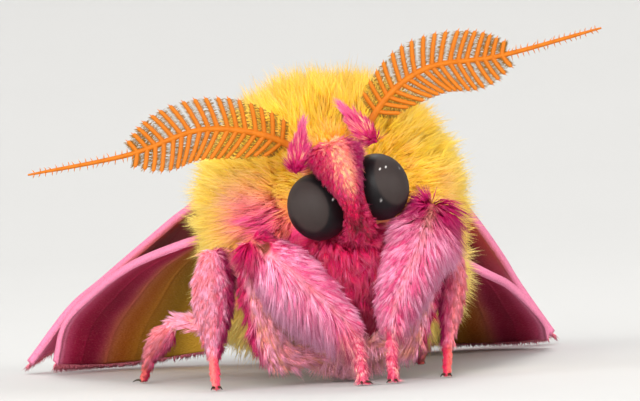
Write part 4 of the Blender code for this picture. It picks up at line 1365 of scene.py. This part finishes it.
def wing_marks(a, b, upper, fore):
    """Rose at the root and the outer band, yellow between.

    The under side has a pale rim along its front, partly its own pink and partly a painted highlight where the
    edge catches the light; its crimson, dark red, brown-red and olive bands are painted shade over rose and
    yellow, and yellow lies inward.
    """
    under = 1 - upper
    wave = (0.025 * np.sin(b * 19) + 0.02 * np.sin(a * 31 + b * 7)) * (0.4 + 0.6 * upper)
    # The pale front rim: partly its own pink, partly a painted highlight on the lit edge
    rim = fade(b, 0.015, 0.065)
    if fore:
        inner = soft(b + wave, 0.35, 0.6)
        rose = np.maximum(soft(a + wave, 0.7, 0.78), fade(a + 0.25 * b, 0.32, 0.42))
        rose = np.maximum(rose, fade(b, 0.1, 0.2) * 0.9)
        # On the under side, the olive, brown-red, crimson and dark red bands are painted shade
        return {
            "rose": np.maximum(rose * upper, under),
            "lilac": rim,
            "olive": under * soft(b, 0.6, 0.8) * 0.7,
            "rust_painted_shade": under * inner * (1 - soft(b, 0.65, 0.9)) * 0.9,
            "crimson": under * (1 - inner) * (1 - rim) * (0.25 + 0.6 * soft(a, 0.2, 0.6) * soft(b, 0.05, 0.2)),
            "maroon_painted_shade": under * hump(b + wave, 0.3, 0.16) * soft(a, 0.35, 0.65) * 0.7,
        }
    inner = soft(b + wave, 0.24, 0.5)
    rose = np.maximum(soft(a + wave, 0.76, 0.9) * 0.8, fade(b, 0.03, 0.16) * 0.8)
    # On the under side, the olive, brown-red, crimson and dark red bands are painted shade
    return {
        "rose": np.maximum(rose * upper, under * (1 - inner)),
        "lilac": rim * 0.95,
        "rust_painted_shade": under * inner * fade(b, 0.45, 0.7) * 0.85,
        "olive": under * soft(b, 0.4, 0.66) * fade(b, 0.72, 0.92) * 0.85,
        "crimson": under * (1 - inner) * (1 - rim) * (0.45 + 0.5 * soft(b, 0.04, 0.14)),
        "maroon_painted_shade": under * hump(b + wave, 0.24, 0.13) * soft(a, 0.3, 0.7) * 0.6,
    }


def wing_sheet(shape, side, fore):
    """A thin veined sheet: the upper and lower faces and the rim between them."""
    steps = np.linspace(0, 1, WING_GRID)
    a, b = np.meshgrid(steps, steps ** 1.15, indexing="ij")
    middle, up = wing_surface(shape, a, b), wing_normals(shape, a, b)
    ridge = sum(hump(b, vein, 0.008) for vein in shape["veins"]) * VEIN_HEIGHT * (1 - 0.5 * a)
    half = WING_HALF_THICKNESS * (1 + 1.6 * fade(b, 0, 0.03))
    upper = middle + up * (half + ridge)[..., None]
    lower = middle - up * (half + ridge * 0.6)[..., None]
    count = WING_GRID ** 2
    grid = np.arange(count).reshape(WING_GRID, WING_GRID)
    first = grid[:-1, :-1].ravel()
    top = halved(first, first + 1, first + WING_GRID + 1, first + WING_GRID)
    edge = np.concatenate((grid[0, :-1], grid[:-1, -1], grid[-1, :0:-1], grid[:0:-1, 0]))
    after = np.roll(edge, -1)
    wall = halved(edge + count, after + count, after, edge)
    faces = np.concatenate((top, top[:, ::-1] + count, wall))
    points = on_side(np.concatenate((upper.reshape(-1, 3), lower.reshape(-1, 3))), side)
    above = np.repeat((1.0, 0.0), count)
    a, b = np.tile(a.ravel(), 2), np.tile(b.ravel(), 2)
    marks = wing_marks(a, b, above, fore) | {"rows": vectors(a * 130, b * 60, above * 9)}
    return points, faces[:, ::-1] if side > 0 else faces, marks


def wing_fringe(shape, side, like):
    """Short soft scales that stand out from the outer and the inner edge."""
    edge = DRAW.random(FRINGE_SCALES)
    outer = np.arange(FRINGE_SCALES) < OUTER_FRINGE_SCALES
    a, b = np.where(outer, 1.0, 0.12 + 0.88 * edge), np.where(outer, edge, 1.0)
    here = wing_surface(shape, a, b)
    way = unit(here - wing_surface(shape, np.where(outer, 0.96, a - 0.03), np.where(outer, b, 0.97)))
    way = unit(way + DRAW.normal(0, 0.12, way.shape))
    length = DRAW.uniform(0.3, 0.6, FRINGE_SCALES) * np.where(outer, 1, 0.8)
    hairs = fine_hairs(here - way * 0.08, way, length, np.full(FRINGE_SCALES, 0.02), edge)
    hairs["tip"][:, 2] = np.maximum(hairs["tip"][:, 2], LOWEST_FRINGE)
    points, faces, _ = hair_mesh(hairs)
    pink = np.repeat(np.where(outer, 1.0, np.maximum(soft(a, 0.7, 0.8), fade(a, 0.1, 0.2))), HAIR_POINTS)
    marks = {name: np.zeros(len(points)) for name in like}
    marks |= {"rose": pink * 0.8, "lilac": pink * 0.4, "rows": np.zeros(points.shape)}
    return on_side(points, side), faces[:, ::-1] if side < 0 else faces, marks


def make_wings():
    """Two forewings and two hindwings."""
    finish = wing_finish()
    for kind, sizes in (("forewing", FOREWING), ("hindwing", HINDWING)):
        for name, side in SIDES.items():
            front = sizes.get("costa", HINDWING_COSTA[name])
            shape = sizes | {"curves": [smooth_path(edge, WING_EDGE_POINTS) for edge in (front, sizes["inner"])]}
            sheet = wing_sheet(shape, side, kind == "forewing")
            points, faces, marks = gather([sheet, wing_fringe(shape, side, sheet[2])])
            make_piece(f"scaled_{kind}_{name}", points, faces, finish, "wing_scales", [f"{kind}_{name}"], marks)


def make_claws():
    """Two curved claws at the end of each foot."""
    finish = claw_finish()
    t = np.linspace(0, 1, 6)
    rise = vectors(0, 0, 0.12 * t - 0.16 * t ** 2)
    half = np.linspace(0.05, 0.012, 6)
    for name, (_, (_, ankle, toe), _, _) in LEGS.items():
        ahead = unit((np.array(toe) - np.array(ankle)) * np.array((1, 1, 0)))
        across = np.array((-ahead[1], ahead[0], 0))
        parts = []
        for side in (-1, 1):
            start = np.array(toe) + across * side * 0.06
            path = start + (ahead * 0.3 + across * side * 0.1) * t[:, None] + rise
            points, faces, along = tube(path, half, half, np.array((0, 0, 1.0)), sides=6)
            parts.append((points, faces, {"along": along}))
        points, faces, marks = gather(parts)
        make_piece("claws_" + name, points, faces, finish, "eye_surface", [name + "_shin"], marks)


# Studio

def put(obj, right, up, back, place):
    """Links an object into the scene at a place in millimetres, with its three axes turned as given."""
    pose = Matrix(np.stack((right, up, back), 1).tolist()).to_4x4()
    pose.translation = (np.asarray(place) + SLIDE) * MM
    obj.matrix_world = pose
    bpy.context.scene.collection.objects.link(obj)


def make_camera():
    """The camera at the photograph's angle, rolled a little."""
    level = math.cos(ELEVATION)
    back = np.array((math.sin(AZIMUTH) * level, -math.cos(AZIMUTH) * level, math.sin(ELEVATION)))
    right = unit(np.cross(-back, (0, 0, 1)))
    up = np.cross(right, -back)
    across = right * math.cos(ROLL) - up * math.sin(ROLL)
    upright = right * math.sin(ROLL) + up * math.cos(ROLL)
    data = bpy.data.cameras.new("camera")
    data.lens = data.sensor_width * LENS_PIXELS / PHOTO_WIDTH
    data.clip_start = 0.001
    camera = bpy.data.objects.new("camera", data)
    put(camera, across, upright, back, TARGET + back * DISTANCE)
    bpy.context.scene.camera = camera


def make_stage():
    """A pale floor that rises far off into a round backdrop."""
    turn = np.linspace(0, math.pi / 2, 17)[1:]
    reach = np.concatenate((FLOOR_RINGS, FLOOR_RINGS[-1] + BACKDROP_RADIUS * np.sin(turn)))
    height = np.concatenate((np.zeros(len(FLOOR_RINGS)), BACKDROP_RADIUS * (1 - np.cos(turn))))
    around = 2 * math.pi * np.arange(FLOOR_SIDES) / FLOOR_SIDES
    points = np.concatenate([vectors(r * np.cos(around), r * np.sin(around), h) for r, h in zip(reach, height)])
    faces = ring_faces(len(reach), FLOOR_SIDES)[:-(FLOOR_SIDES - 2)]
    floor = bpy.data.objects.new("floor", mesh_of("floor", points * MM, faces))
    floor.data.materials.append(stage_finish())
    bpy.context.scene.collection.objects.link(floor)


def make_light(name, place, size, power, colour):
    """A soft square light that faces the moth."""
    data = bpy.data.lights.new(name, "AREA")
    data.size = size * MM
    data.energy = power
    data.color = colour
    back = unit(np.array(place) - TARGET)
    right = unit(np.cross((0, 0, 1.0), back))
    put(bpy.data.objects.new(name, data), right, np.cross(back, right), back, place)


def make_studio():
    """Pale surroundings and four soft lights."""
    world = bpy.data.worlds.new("studio")
    world.use_nodes = True
    background = world.node_tree.nodes["Background"]
    background.inputs["Color"].default_value = rgb(0.95, 0.96, 1.0)
    background.inputs["Strength"].default_value = 0.52
    bpy.context.scene.world = world
    bpy.context.scene.view_settings.view_transform = "Standard"
    for name, light in LIGHTS.items():
        make_light(name, *light)


make_camera()
make_studio()
make_stage()
make_body()
make_eyes()
make_antennae()
make_wings()
make_claws()
